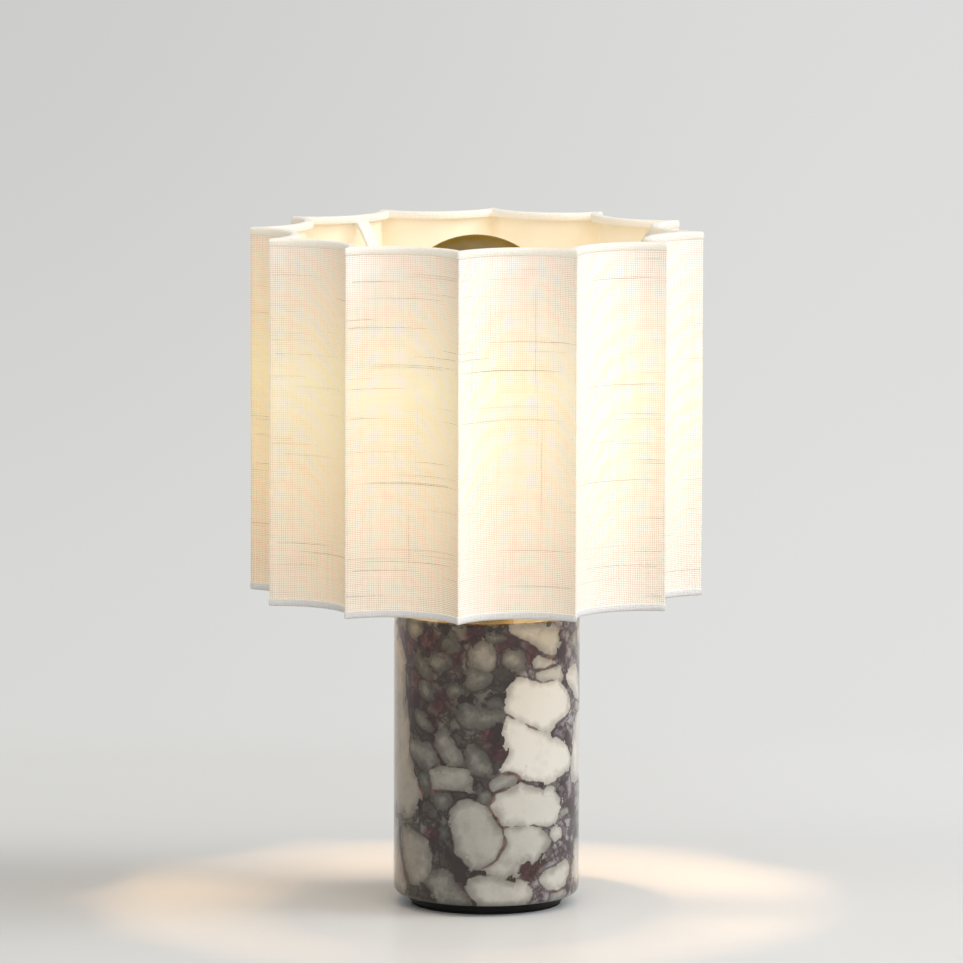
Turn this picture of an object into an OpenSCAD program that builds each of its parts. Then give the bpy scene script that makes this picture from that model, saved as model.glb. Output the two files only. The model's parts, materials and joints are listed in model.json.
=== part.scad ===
// Table lamp: a scalloped fabric drum shade on a turned marble base, with a brass cup
// that holds the lampholder, and a globe bulb with a mirrored crown.
// Millimetres. The origin is on the stem's axis, at the plane that the lamp stands on.

/* [Base] */
// Diameter of the marble body
marble_d = 107; // [90:0.5:130]
// Height of the marble body
marble_h = 163.5; // [100:0.5:240]
// Radius of the rounded edge at the foot of the marble
marble_round = 4.5; // [1:0.5:8]
// Chamfer on the top edge of the marble
marble_chamfer = 0.8; // [0.3:0.1:3]
// Diameter of the core hole through the marble
core_d = 24; // [14:0.5:26]
// Diameter of the recess in the marble's underside
recess_d = 60; // [56:1:64]
// Depth of that recess
recess_h = 24; // [22:0.5:40]
// How far the marble's axis stands to the side of the stem's axis
base_shift = 6.6; // [0:0.1:7]
// Diameter of the steel base plate
plate_d = 88; // [84:1:90]
// Thickness of the base plate
plate_h = 4.3; // [3:0.1:8]
// How far the soft pad stops short of the plate's edge
pad_inset = 1; // [0.5:0.5:4]
// Thickness of the pad
pad_h = 1.5; // [1:0.1:4]
// Number of screws that hold the base plate
screw_count = 3; // [3:1:6]
// Diameter of those screws
screw_d = 4; // [3:0.5:5]
// Diameter of the circle that the screws stand on
screw_circle_d = 76; // [74:0.5:76]
// Height of the cable hole above the marble's underside
cable_z = 14.5; // [13:0.5:16]
// Bore of the cable grommet
cable_d = 6.8; // [5:0.1:8]
// Wall of the cable grommet
grommet_wall = 3; // [2:0.1:3.5]

/* [Stem] */
// Outside diameter of the threaded pipe
pipe_d = 10; // [9:0.5:12]
// Wall of the threaded pipe
pipe_wall = 1.4; // [1:0.1:2]
// Width across the flats of the pipe's nuts
nut_w = 14; // [14:0.5:18]
// Thickness of a nut
nut_h = 4; // [3:0.5:6]
// Diameter of the wide washer under the marble
washer_d = 40; // [38:0.5:44]
// Thickness of the wide washer
washer_h = 2; // [1:0.5:4]
// Outside diameter of the brass cup
cup_d = 44; // [43:0.5:50]
// Wall of the brass cup
cup_wall = 1.2; // [0.8:0.1:1.6]
// Height of the brass cup
cup_h = 88.6; // [80:0.1:120]
// Thickness of the cup's floor
cup_floor = 2.5; // [1.5:0.1:5]
// Thickness of the gasket under the cup
gasket_h = 0.8; // [0.5:0.1:3]

/* [Lampholder] */
// Outside diameter of the lampholder
holder_d = 39.2; // [38:0.1:40]
// Diameter of the flange that carries the shade
flange_d = 48; // [46:0.5:52]
// Thickness of the flange
flange_h = 3; // [2:0.1:5]
// Height of the threaded skirt above the flange
skirt_h = 12.5; // [11:0.5:16]
// How far the holder's body hangs down in the cup
body_drop = 33; // [30:0.5:36]
// Height of the holder's lower cap
cap_h = 28; // [24:0.5:32]
// Height of the ring that clamps the shade
ring_h = 7; // [5:0.5:9]
// Width of the clamping ring's rim
ring_w = 4.6; // [3:0.1:5]
// Number of grip flutes round the clamping ring
flutes = 24; // [12:1:30]

/* [Bulb] */
// Diameter of the globe
globe_d = 95; // [80:1:105]
// Length of the bulb over all
bulb_len = 138; // [125:1:150]
// How far the bulb's tip lies below the lampholder's mouth
bulb_depth = 25.7; // [25:0.1:26]
// Diameter of the bulb's screw cap
bulb_cap_d = 26.2; // [25:0.1:26.4]
// Thickness of the glass
glass_t = 0.9; // [0.6:0.1:1.5]
// Thickness of the mirrored crown
crown_t = 0.3; // [0.2:0.1:0.6]
// How far above the globe's middle the mirror begins
crown_from = 8; // [0:1:20]
// Number of filaments
filaments = 6; // [2:1:8]

/* [Shade] */
// Radius of the shade at its outward folds
shade_r = 130; // [115:0.5:160]
// Height of the shade
shade_h = 208.8; // [150:0.2:240]
// Number of scalloped panels, a multiple of the three arms
panels = 12; // [9:3:18]
// How far each panel bows inwards from the line between its folds
panel_bow = 18; // [6:0.5:19]
// Turn of the shade about the stem
shade_turn = 25.7; // [0:0.1:30]
// Height of the shade's top above the flange that it rests on
fitter_drop = 128.1; // [110:0.1:150]
// Thickness of the linen
linen_t = 0.6; // [0.4:0.1:1]
// Thickness of the stiff backing
liner_t = 0.5; // [0.3:0.1:1]
// Diameter of the rim wires
wire_d = 3; // [2:0.1:4]
// Height of the hem tape on the outside
hem_h = 4.2; // [3.8:0.1:8]
// Thickness of the hem tape
hem_t = 0.5; // [0.3:0.1:0.8]

/* [Spider] */
// Width of a spider arm
arm_w = 9; // [5:0.5:12]
// Thickness of a spider arm
arm_t = 2; // [1:0.1:3]
// Least gap between an arm and the globe
arm_clear = 5.8; // [3:0.1:10]
// Height of the knee in each arm above the spider's ring
knee_h = 39; // [25:1:45]
// Bend radius of the arms
bend_r = 6; // [3:0.5:8]
// Thickness of the spider's ring
spider_h = 2; // [1:0.1:3]
// Length of the foot that seats each arm on the ring
arm_foot = 3.8; // [3:0.1:6]

/* [Hidden] */
$fn = 96;

// Clearances
thread_gap = 0.1;
slip = 0.2;
run_gap = 0.3;
wire_play = 0.3;
over = 1;

// Levels from the floor up
plate_z = pad_h;
marble_z = plate_z + plate_h;
recess_z = marble_z + recess_h;
marble_top = marble_z + marble_h;
cup_z = marble_top + gasket_h;
rim_z = cup_z + cup_h;
seat_z = rim_z + flange_h;
mouth_z = seat_z + skirt_h;
bulb_z = mouth_z - bulb_depth;
shade_top = seat_z + fitter_drop;
shade_bottom = shade_top - shade_h;

// Base
screw_from = 30;
screw_head_h = screw_d / 2;
sink_over = 0.01;
plug_wall = 2;
plug_h = 18;
plug_r = screw_d / 2 + plug_wall;
plug_spare = 4;
screw_len = plug_h - plug_spare + plate_h;
plate_chamfer = 0.4;
grommet_r = cable_d / 2 + grommet_wall;
grommet_lip = 2.6;
grommet_lip_h = 2;
grommet_sink = 2.6;
grommet_len = 17;
spot_y = marble_d / 2 - grommet_sink;

// Stem
pipe_r = pipe_d / 2;
pipe_tail = 6;
nut_chamfer_a = 30;
gasket_inset = 1;
cup_washer_w = 2.5;
cup_washer_h = 1;

// Lampholder
holder_r = holder_d / 2;
holder_wall = 2.4;
insert_r = holder_r - holder_wall - slip;
insert_h = 10;
contact_w = 6;
contact_t = 0.5;
contact_rise = 2;
contact_heel = 6;
contact_toe = 4;
contact_step = 1;
contact_ease = 0.3;
shell_t = 0.5;
shell_drop = 2.5;
skirt_play = 0.9;
shell_r = bulb_cap_d / 2 + run_gap + slip;
insert_top = bulb_z - run_gap - contact_rise - contact_t;
insert_z = insert_top - insert_h;
shell_hole_r = 8;
cap_top = rim_z - body_drop;
cap_z = cap_top - cap_h;
hub_h = 12;
hub_wall = 3.6;
hub_lip = 3;
shoulder_h = 4;
terminal_x = 10;
terminal_r = 1.5;
terminal_hole = 8;
terminal_len = 6;
terminal_head_r = 3;
terminal_head_h = 2.4;
slot_w = 0.8;
slot_depth = 1.1;
ring_bore = holder_r + thread_gap;
ring_r = ring_bore + ring_w;
ring_z = seat_z + spider_h + slip;
flute_r = 1;
flute_out = 0.4;

// Bulb
globe_r = globe_d / 2;
glass_r = globe_r - crown_t;
globe_z = bulb_z + bulb_len - globe_r;
cap_r = bulb_cap_d / 2;
neck_r = cap_r + 2.9;
neck_blend = 25;
throat_r = cap_r - 0.6;
throat_h = 4;
throat_sink = 3;
blend_x = neck_r + neck_blend;
blend_z = globe_z - sqrt(pow(glass_r + neck_blend, 2) - blend_x * blend_x);
cap_wall = 0.4;
cap_floor = 4;
cap_edge = 1.4;
cap_edge_h = 1.6;
bulb_cap_h = 23.5;
button_h = 1;
button_r = 4.6;
button_edge = 0.6;
bead_h = 2.5;
bead_lip = 1.2;
bulb_cap_z = bulb_z + button_h + bead_h;
throat_z = bulb_cap_z + bulb_cap_h - throat_sink;
stem_h = 38;
stem_r = 4.5;
stem_tip = 2;
stem_tip_h = 4;
stem_rim_h = 2;
stem_flare_h = 12;
hub_t = 0.8;
lower_hub_z = throat_z + stem_h;
cage_h = 38;
lower_hub_r = 6.5;
upper_hub_r = 11;
hub_edge = 3;
filament_r = 1;
post_r = 0.6;

// Shade: each panel is an arc about a centre outside the shade
arms = 3;
panel_a = 360 / panels;
half_chord = shade_r * sin(panel_a / 2);
apothem = shade_r * cos(panel_a / 2);
bow_r = (half_chord * half_chord + panel_bow * panel_bow) / (2 * panel_bow);
bow_x = apothem - panel_bow + bow_r;
wall_t = linen_t + liner_t;
wire_r = wire_d / 2;
wire_in = wall_t + wire_play + wire_r;
bend_room = 0.4;
wire_bend = wire_r + bend_room;
wire_side = bow_x * sin(panel_a / 2);
wire_fold_x = bow_x * cos(panel_a / 2) - sqrt(pow(bow_r + wire_in + wire_bend, 2) - wire_side * wire_side);
wire_turn = atan2(wire_side, bow_x * cos(panel_a / 2) - wire_fold_x);
wire_sweep = wire_turn - panel_a / 2;
wire_sides = 8;
bend_steps = 4;
bow_steps = 12;
hem_in = wall_t + wire_d + 2 * wire_play;
tip_over = 0.4;
wire_top_z = shade_top - hem_t - wire_r;
wire_bottom_z = shade_bottom + hem_t + wire_r;

// Spider arms, in the plane of the axis and one panel's middle
spider_play = 0.8;
spider_bore = holder_r + spider_play;
foot_gap = 0.9;
foot_in = ring_r + foot_gap;
foot_rim = 0.5;
foot_bend = 1;
spider_r = foot_in + arm_foot;
arm_half = arm_t / 2;
arm_play = 0.5;
arm_lap = 4.8;
arm_out = bow_x - bow_r - wall_t - arm_play;
arm_top = [arm_out - arm_lap, wire_top_z - wire_r - arm_half];
globe_far = norm([arm_top[0], arm_top[1] - globe_z]);
arm_slope = atan2(arm_top[1] - globe_z, arm_top[0])
    + asin((globe_r + arm_half + arm_clear) / globe_far);
knee_z = seat_z + spider_h + knee_h;
knee_x = arm_top[0] - (arm_top[1] - knee_z) / tan(arm_slope);
foot_z = seat_z + spider_h + arm_half;
arm_path = [
    [foot_in, foot_z],
    [spider_r - foot_rim, foot_z],
    [knee_x, knee_z],
    arm_top,
    [arm_out, arm_top[1]]
];

// Unit vector along v
function unit(v) = v / norm(v);

// Points of the arc of radius r that rounds the corner at b between a and c
function bend(a, b, c, r, steps = 5) =
    let (
        u = unit(a - b),
        v = unit(c - b),
        half = acos(u * v) / 2,
        m = b + unit(u + v) * r / sin(half),
        p = b + u * r / tan(half) - m,
        q = b + v * r / tan(half) - m,
        start = atan2(p[1], p[0]),
        turn = atan2(p[0] * q[1] - p[1] * q[0], p * q)
    )
    [for (i = [0:steps]) m + r * [cos(start + turn * i / steps), sin(start + turn * i / steps)]];

// A path with each inner corner rounded
function rounded(path, r) = [
    path[0],
    for (i = [1:len(path) - 2]) each bend(path[i - 1], path[i], path[i + 1], r[i - 1]),
    path[len(path) - 1]
];

// Direction of a path at its point i
function heading(path, i) = unit(path[min(i + 1, len(path) - 1)] - path[max(i - 1, 0)]);

// The path moved sideways by d
function beside(path, d) = [
    for (i = [0:len(path) - 1])
        let (t = heading(path, i))
        path[i] + d * [-t[1], t[0]]
];

// The points of a list from last to first
function reversed(list) = [for (i = [len(list) - 1:-1:0]) list[i]];

// A disc or tube standing on z
module tube(r, bore, h, z = 0) {
    translate([0, 0, z])
    difference() {
        cylinder(r = r, h = h);
        if (bore > 0)
            translate([0, 0, -over]) cylinder(r = bore, h = h + 2 * over);
    }
}

// A hexagon nut with its corners chamfered on both sides
module nut(z) {
    corner_r = nut_w / sqrt(3);
    reach = corner_r + slip;
    bevel = (reach - nut_w / 2) * tan(nut_chamfer_a);
    translate([0, 0, z])
    difference() {
        intersection() {
            cylinder(r = corner_r, h = nut_h, $fn = 6);
            union() {
                cylinder(r1 = nut_w / 2, r2 = reach, h = bevel);
                translate([0, 0, bevel]) cylinder(r = reach, h = nut_h - 2 * bevel);
                translate([0, 0, nut_h - bevel]) cylinder(r1 = reach, r2 = nut_w / 2, h = bevel);
            }
        }
        translate([0, 0, -over]) cylinder(r = pipe_r + thread_gap, h = nut_h + 2 * over);
    }
}

// Copies about the marble's own axis
module on_base() {
    translate([base_shift, 0, 0]) children();
}

// The places of the base plate's screws
module at_screws() {
    on_base()
    for (i = [0:screw_count - 1])
        rotate(screw_from + i * 360 / screw_count) translate([screw_circle_d / 2, 0, 0]) children();
}

// Outline of the marble's half section, with its rounded foot and chamfered top
module marble_section() {
    r = marble_d / 2;
    difference() {
        translate([core_d / 2, 0]) square([r - core_d / 2, marble_h]);
        translate([0, -over]) square([recess_d / 2, recess_h + over]);
        difference() {
            translate([r - marble_round, -over]) square([marble_round + over, marble_round + over]);
            translate([r - marble_round, marble_round]) circle(r = marble_round);
        }
        translate([r, marble_h]) rotate(45) square(marble_chamfer * sqrt(2), center = true);
    }
}

module foot_pad() {
    color("#1b1b1b")
    on_base() tube(plate_d / 2 - pad_inset, 0, pad_h);
}

module base_plate() {
    r = plate_d / 2;
    color("#141414")
    difference() {
        on_base()
        translate([0, 0, plate_z])
        rotate_extrude()
        polygon([
            [0, 0], [r - plate_chamfer, 0], [r, plate_chamfer],
            [r, plate_h - plate_chamfer], [r - plate_chamfer, plate_h], [0, plate_h]
        ]);
        at_screws() {
            translate([0, 0, plate_z - over]) cylinder(r = screw_d / 2 + slip, h = plate_h + 2 * over);
            translate([0, 0, plate_z - sink_over])
            cylinder(r1 = screw_d + slip, r2 = screw_d / 2 + slip, h = screw_head_h);
        }
    }
}

module plate_screws() {
    color("silver")
    at_screws()
    translate([0, 0, plate_z]) {
        cylinder(r1 = screw_d, r2 = screw_d / 2, h = screw_head_h);
        translate([0, 0, screw_head_h]) cylinder(r = screw_d / 2, h = screw_len - screw_head_h);
    }
}

module screw_plugs() {
    color("#b8b4a8")
    at_screws() tube(plug_r, screw_d / 2 + thread_gap, plug_h, marble_z);
}

module marble_body() {
    color("#b9aca6")
    difference() {
        on_base() translate([0, 0, marble_z]) rotate_extrude() marble_section();
        at_screws()
        translate([0, 0, marble_z - over]) cylinder(r = plug_r + thread_gap, h = plug_h + over);
        on_base()
        translate([0, 0, marble_z + cable_z])
        rotate([-90, 0, 0]) {
            cylinder(r = grommet_r + thread_gap, h = marble_d);
            translate([0, 0, spot_y]) cylinder(r = grommet_r + grommet_lip + slip, h = marble_d);
        }
    }
}

module cable_grommet() {
    color("#202020")
    on_base()
    translate([0, spot_y, marble_z + cable_z])
    rotate([-90, 0, 0])
    difference() {
        union() {
            translate([0, 0, -grommet_len + grommet_lip_h])
            cylinder(r = grommet_r, h = grommet_len - grommet_lip_h);
            cylinder(r = grommet_r + grommet_lip, h = grommet_lip_h);
        }
        translate([0, 0, -grommet_len]) cylinder(r = cable_d / 2, h = grommet_len + 2 * grommet_lip_h);
    }
}

module lower_nut() {
    color("silver") nut(recess_z - washer_h - nut_h);
}

module lower_washer() {
    color("silver") tube(washer_d / 2, pipe_r + thread_gap, washer_h, recess_z - washer_h);
}

module threaded_pipe() {
    low = recess_z - washer_h - nut_h - pipe_tail;
    color("silver") tube(pipe_r, pipe_r - pipe_wall, cap_z + hub_h - low, low);
}

module cup_gasket() {
    color("#2a2a2a") tube(cup_d / 2 - gasket_inset, pipe_r + thread_gap, gasket_h, marble_top);
}

module socket_cup() {
    color("#c9a14a")
    difference() {
        tube(cup_d / 2, 0, cup_h, cup_z);
        translate([0, 0, cup_z + cup_floor]) cylinder(r = cup_d / 2 - cup_wall, h = cup_h);
        translate([0, 0, cup_z - over]) cylinder(r = pipe_r + thread_gap, h = cup_floor + 2 * over);
    }
}

module cup_washer() {
    color("silver") tube(nut_w / 2 + cup_washer_w, pipe_r + thread_gap, cup_washer_h, cup_z + cup_floor);
}

module cup_nut() {
    color("silver") nut(cup_z + cup_floor + cup_washer_h);
}

module socket_cap() {
    neck = pipe_r + hub_wall;
    color("#23211f")
    translate([0, 0, cap_z])
    rotate_extrude()
    polygon([
        [pipe_r + thread_gap, 0], [neck, 0], [neck, hub_lip], [holder_r, hub_h + hub_lip],
        [holder_r, cap_h], [holder_r - holder_wall, cap_h], [holder_r - holder_wall, hub_h + shoulder_h],
        [neck, hub_h], [pipe_r + thread_gap, hub_h]
    ]);
}

module socket_insert() {
    color("#e8e4da")
    difference() {
        tube(insert_r, 0, insert_h, insert_z);
        for (side = [-1, 1])
            translate([side * terminal_x, 0, insert_z - over])
            cylinder(r = terminal_r + thread_gap, h = terminal_hole + over);
    }
}

module terminal_screws() {
    color("#d8b25e")
    for (side = [-1, 1])
        translate([side * terminal_x, 0, insert_z - terminal_head_h])
        difference() {
            union() {
                cylinder(r = terminal_head_r, h = terminal_head_h);
                translate([0, 0, terminal_head_h]) cylinder(r = terminal_r, h = terminal_len);
            }
            cube([2 * terminal_head_r + over, slot_w, 2 * slot_depth], center = true);
        }
}

module centre_contact() {
    bent = contact_step + contact_ease;
    crest = contact_rise + contact_t;
    color("#d8b25e")
    translate([0, contact_w / 2, insert_top])
    rotate([90, 0, 0])
    linear_extrude(contact_w)
    polygon([
        [-contact_heel, 0], [-contact_step, 0], [contact_step, contact_rise], [contact_toe, contact_rise],
        [contact_toe, crest], [contact_step - contact_ease, crest], [-bent, contact_t],
        [-contact_heel, contact_t]
    ]);
}

module screw_shell() {
    top = mouth_z - insert_top - shell_drop;
    color("#d8b25e")
    translate([0, 0, insert_top])
    rotate_extrude()
    polygon([
        [shell_hole_r, 0], [shell_r + shell_t, 0], [shell_r + shell_t, top], [shell_r, top],
        [shell_r, shell_t], [shell_hole_r, shell_t]
    ]);
}

module socket_body() {
    bore = shell_r + shell_t + skirt_play;
    lower = holder_r - holder_wall;
    color("#23211f")
    rotate_extrude()
    polygon([
        [bore, insert_top], [lower, insert_top], [lower, cap_top], [holder_r, cap_top],
        [holder_r, rim_z], [flange_d / 2, rim_z], [flange_d / 2, seat_z],
        [holder_r, seat_z], [holder_r, mouth_z], [bore, mouth_z]
    ]);
}

module lock_ring() {
    color("#c9a14a")
    difference() {
        tube(ring_r, ring_bore, ring_h, ring_z);
        for (i = [0:flutes - 1])
            rotate(i * 360 / flutes)
            translate([ring_r + flute_out, 0, ring_z - over])
            cylinder(r = flute_r, h = ring_h + 2 * over, $fn = 24);
    }
}

module spider_ring() {
    color("#e9e6df") tube(spider_r, spider_bore, spider_h, seat_z);
}

module spider_arms() {
    line = rounded(arm_path, [arm_half + foot_bend, bend_r, bend_r / 2]);
    color("#e9e6df")
    for (i = [0:arms - 1])
        rotate(shade_turn - panel_a / 2 + i * 360 / arms)
        rotate([90, 0, 0])
        translate([0, 0, -arm_w / 2])
        linear_extrude(arm_w)
        polygon(concat(beside(line, arm_half), reversed(beside(line, -arm_half))));
}

// Plan of the space inside the shade's outer face moved in by inset; tip_r limits the folds
module scallop_plan(inset, tip_r = shade_r + 1) {
    difference() {
        polygon([for (i = [0:panels - 1]) tip_r * [cos(i * panel_a), sin(i * panel_a)]]);
        for (i = [0:panels - 1])
            rotate((i + 0.5) * panel_a) translate([bow_x, 0]) circle(r = bow_r + inset);
    }
}

// A wall between two insets that follows the scallops
module scallop_wall(outer, inner, z, h, tip_r = shade_r + 1) {
    rotate(shade_turn)
    translate([0, 0, z])
    linear_extrude(h)
    difference() {
        scallop_plan(outer, tip_r);
        scallop_plan(inner);
    }
}

// A point at distance r and angle a
function polar(r, a) = r * [cos(a), sin(a)];

// The closed line of a rim wire in plan: a tight bend at each fold and a long arc along each panel
function wire_line() = [
    for (i = [0:panels - 1])
        let (
            fold_a = i * panel_a,
            mid_a = (i + 0.5) * panel_a,
            fold = polar(wire_fold_x, fold_a),
            bow = polar(bow_x, mid_a)
        )
        each concat(
            [for (j = [0:bend_steps]) fold + polar(wire_bend, fold_a + wire_turn * (2 * j / bend_steps - 1))],
            [for (j = [1:bow_steps - 1])
                bow + polar(bow_r + wire_in, mid_a + 180 + wire_sweep * (1 - 2 * j / bow_steps))]
        )
];

// A round wire swept along the rim line at height z
module scallop_wire(z) {
    line = wire_line();
    n = len(line);
    sides = wire_sides;
    points = [
        for (i = [0:n - 1])
            let (
                t = unit(line[(i + 1) % n] - line[(i + n - 1) % n]),
                side = [-t[1], t[0], 0],
                centre = [line[i][0], line[i][1], z]
            )
            for (j = [0:sides - 1])
                centre + wire_r * (cos(j * 360 / sides) * side + sin(j * 360 / sides) * [0, 0, 1])
    ];
    faces = [
        for (i = [0:n - 1])
            for (j = [0:sides - 1])
                let (
                    a = i * sides + j,
                    b = ((i + 1) % n) * sides + j,
                    c = ((i + 1) % n) * sides + (j + 1) % sides,
                    d = i * sides + (j + 1) % sides
                )
                each [[a, b, c], [a, c, d]]
    ];
    rotate(shade_turn) polyhedron(points, faces, convexity = 10);
}

// Hem tape: a channel over the wire and both edges of the wall, open towards the shade's middle height
module hem(z, open_z) {
    difference() {
        scallop_wall(-hem_t, hem_in + hem_t, z, hem_h, shade_r + tip_over);
        scallop_wall(0, hem_in, open_z, hem_h);
    }
}

module top_wire() {
    color("silver") scallop_wire(wire_top_z);
}

module bottom_wire() {
    color("silver") scallop_wire(wire_bottom_z);
}

module shade_liner() {
    color("#f5ecd8")
    scallop_wall(linen_t, wall_t, shade_bottom + hem_t, shade_h - 2 * hem_t);
}

module shade_fabric() {
    color("#f4ead8")
    scallop_wall(0, linen_t, shade_bottom + hem_t, shade_h - 2 * hem_t);
}

module top_hem() {
    color("#dcdad6")
    difference() {
        hem(shade_top - hem_h, shade_top - hem_h - hem_t);
        for (i = [0:arms - 1])
            rotate(shade_turn - panel_a / 2 + i * 360 / arms)
            translate([arm_top[0] - arm_w, -arm_w / 2 - run_gap, shade_top - hem_h - over])
            cube([arm_out - arm_top[0] + arm_w, arm_w + 2 * run_gap, arm_top[1] + arm_half
                + run_gap + over - shade_top + hem_h]);
    }
}

module bottom_hem() {
    color("#dcdad6") hem(shade_bottom, shade_bottom + hem_t);
}

// Half section of the bulb's glass, moved in by t
module glass_section(t) {
    reach = glass_r / (glass_r + neck_blend);
    difference() {
        union() {
            intersection() {
                translate([0, globe_z]) circle(r = glass_r - t);
                translate([0, globe_z - globe_d]) square([globe_d, 2 * globe_d]);
            }
            polygon([
                [0, throat_z], [throat_r - t, throat_z], [throat_r - t, throat_z + throat_h],
                [neck_r - t, blend_z], [blend_x * reach, globe_z - (globe_z - blend_z) * reach],
                [0, globe_z]
            ]);
        }
        translate([blend_x, blend_z]) circle(r = neck_blend + t);
    }
}

module bulb_contact() {
    color("#b9b6ae")
    translate([0, 0, bulb_z]) cylinder(r1 = button_r - button_edge, r2 = button_r, h = button_h);
}

module bulb_insulator() {
    color("#161616")
    translate([0, 0, bulb_z + button_h])
    cylinder(r1 = button_r + bead_lip, r2 = cap_r - cap_edge, h = bead_h);
}

module bulb_cap() {
    inner_r = cap_r - cap_wall;
    color("#cfc9b8")
    translate([0, 0, bulb_cap_z])
    rotate_extrude()
    polygon([
        [cap_r - cap_floor, 0], [cap_r - cap_edge, 0], [cap_r, cap_edge_h], [cap_r, bulb_cap_h],
        [inner_r, bulb_cap_h], [inner_r, cap_edge_h + cap_wall / 2],
        [inner_r - cap_edge + cap_wall / 2, cap_wall], [cap_r - cap_floor, cap_wall]
    ]);
}

module bulb_glass() {
    color([0.95, 0.93, 0.88, 0.35])
    rotate_extrude()
    difference() {
        glass_section(0);
        glass_section(glass_t);
        translate([-over, throat_z - over]) square([throat_r - glass_t + over, 2 * over]);
    }
}

module bulb_crown() {
    color("#a8843c")
    rotate_extrude()
    intersection() {
        translate([0, globe_z])
        difference() {
            circle(r = globe_r);
            circle(r = glass_r);
        }
        translate([0, globe_z + crown_from]) square(globe_d);
    }
}

module bulb_stem() {
    flare = throat_r - glass_t - thread_gap;
    color([0.9, 0.9, 0.88, 0.5])
    translate([0, 0, throat_z])
    rotate_extrude()
    polygon([
        [0, 0], [flare, 0], [flare, stem_rim_h], [stem_r, stem_flare_h], [stem_r, stem_h - stem_tip_h],
        [stem_r - stem_tip, stem_h], [0, stem_h]
    ]);
}

module filament_posts() {
    color("#9a9a98") {
        tube(lower_hub_r + filament_r, 0, hub_t, lower_hub_z);
        tube(post_r, 0, cage_h + 2 * hub_t, lower_hub_z);
        tube(upper_hub_r + filament_r, 0, hub_t, lower_hub_z + cage_h + hub_t);
    }
}

module bulb_filaments() {
    lean = atan((upper_hub_r - lower_hub_r) / cage_h);
    color("#f3c65a")
    intersection() {
        for (i = [0:filaments - 1])
            rotate(i * 360 / filaments)
            translate([lower_hub_r - sin(lean) * over, 0, lower_hub_z + hub_t - over])
            rotate([0, lean, 0])
            cylinder(r = filament_r, h = cage_h / cos(lean) + 2 * over, $fn = 24);
        tube(upper_hub_r + hub_edge, 0, cage_h, lower_hub_z + hub_t);
    }
}

foot_pad();
base_plate();
plate_screws();
screw_plugs();
marble_body();
cable_grommet();
lower_nut();
lower_washer();
threaded_pipe();
cup_gasket();
socket_cup();
cup_washer();
cup_nut();
socket_cap();
socket_insert();
terminal_screws();
centre_contact();
screw_shell();
socket_body();
lock_ring();
spider_ring();
spider_arms();
top_wire();
bottom_wire();
shade_liner();
shade_fabric();
top_hem();
bottom_hem();
bulb_contact();
bulb_insulator();
bulb_cap();
bulb_glass();
bulb_crown();
bulb_stem();
filament_posts();
bulb_filaments();
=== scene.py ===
import json
import math

import bmesh
import bpy
import numpy as np
from mathutils import Matrix, Vector


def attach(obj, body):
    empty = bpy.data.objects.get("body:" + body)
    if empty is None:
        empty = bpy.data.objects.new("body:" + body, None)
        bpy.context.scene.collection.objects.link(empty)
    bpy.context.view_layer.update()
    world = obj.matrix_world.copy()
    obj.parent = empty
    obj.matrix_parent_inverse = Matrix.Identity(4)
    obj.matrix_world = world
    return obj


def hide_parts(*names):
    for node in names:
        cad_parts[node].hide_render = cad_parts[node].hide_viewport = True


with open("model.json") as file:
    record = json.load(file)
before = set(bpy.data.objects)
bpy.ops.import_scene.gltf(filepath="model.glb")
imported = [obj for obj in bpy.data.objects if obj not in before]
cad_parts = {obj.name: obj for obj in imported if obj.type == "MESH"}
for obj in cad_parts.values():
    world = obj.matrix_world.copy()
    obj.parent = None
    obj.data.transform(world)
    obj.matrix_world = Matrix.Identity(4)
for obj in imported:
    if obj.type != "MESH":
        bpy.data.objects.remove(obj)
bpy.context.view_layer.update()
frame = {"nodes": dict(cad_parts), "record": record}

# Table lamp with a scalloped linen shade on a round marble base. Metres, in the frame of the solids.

MM = 0.001

# Shade: each panel is an arc about a centre outside the shade
PANELS = 12
SHADE_R = 130 * MM
PANEL_BOW = 18 * MM
SHADE_TURN = math.radians(25.7)
SHADE_TOP = 389.8 * MM
SHADE_BOTTOM = 181.0 * MM
PANEL_ANGLE = 2 * math.pi / PANELS
HALF_CHORD = SHADE_R * math.sin(PANEL_ANGLE / 2)
BOW_R = (HALF_CHORD ** 2 + PANEL_BOW ** 2) / (2 * PANEL_BOW)
BOW_X = SHADE_R * math.cos(PANEL_ANGLE / 2) - PANEL_BOW + BOW_R
FOLD_ROUND = 0.4 * MM
LINEN_OUT = -0.2 * MM
LINEN_IN = 0.4 * MM
LINER_OUT = 0.55 * MM
LINER_IN = 1.0 * MM
HEM_H = 4.2 * MM
HEM_OUT = -0.6 * MM
HEM_IN = 5.2 * MM
HEM_TAPE = 0.5 * MM
CLOTH_LOW = SHADE_BOTTOM + 0.5 * MM
CLOTH_HIGH = SHADE_TOP - 0.5 * MM
THREAD_PITCH = 1.05 * MM
HEM_DROP = 1.0 * MM  # the lower tape hangs this much below its solid, as photographed
HEM_BEND = [(0.12, 4.2), (0.0, 4.05), (0.0, 1.7), (0.12, 0.95), (0.5, 0.38), (1.1, 0.08), (1.9, 0.0)]

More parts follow.
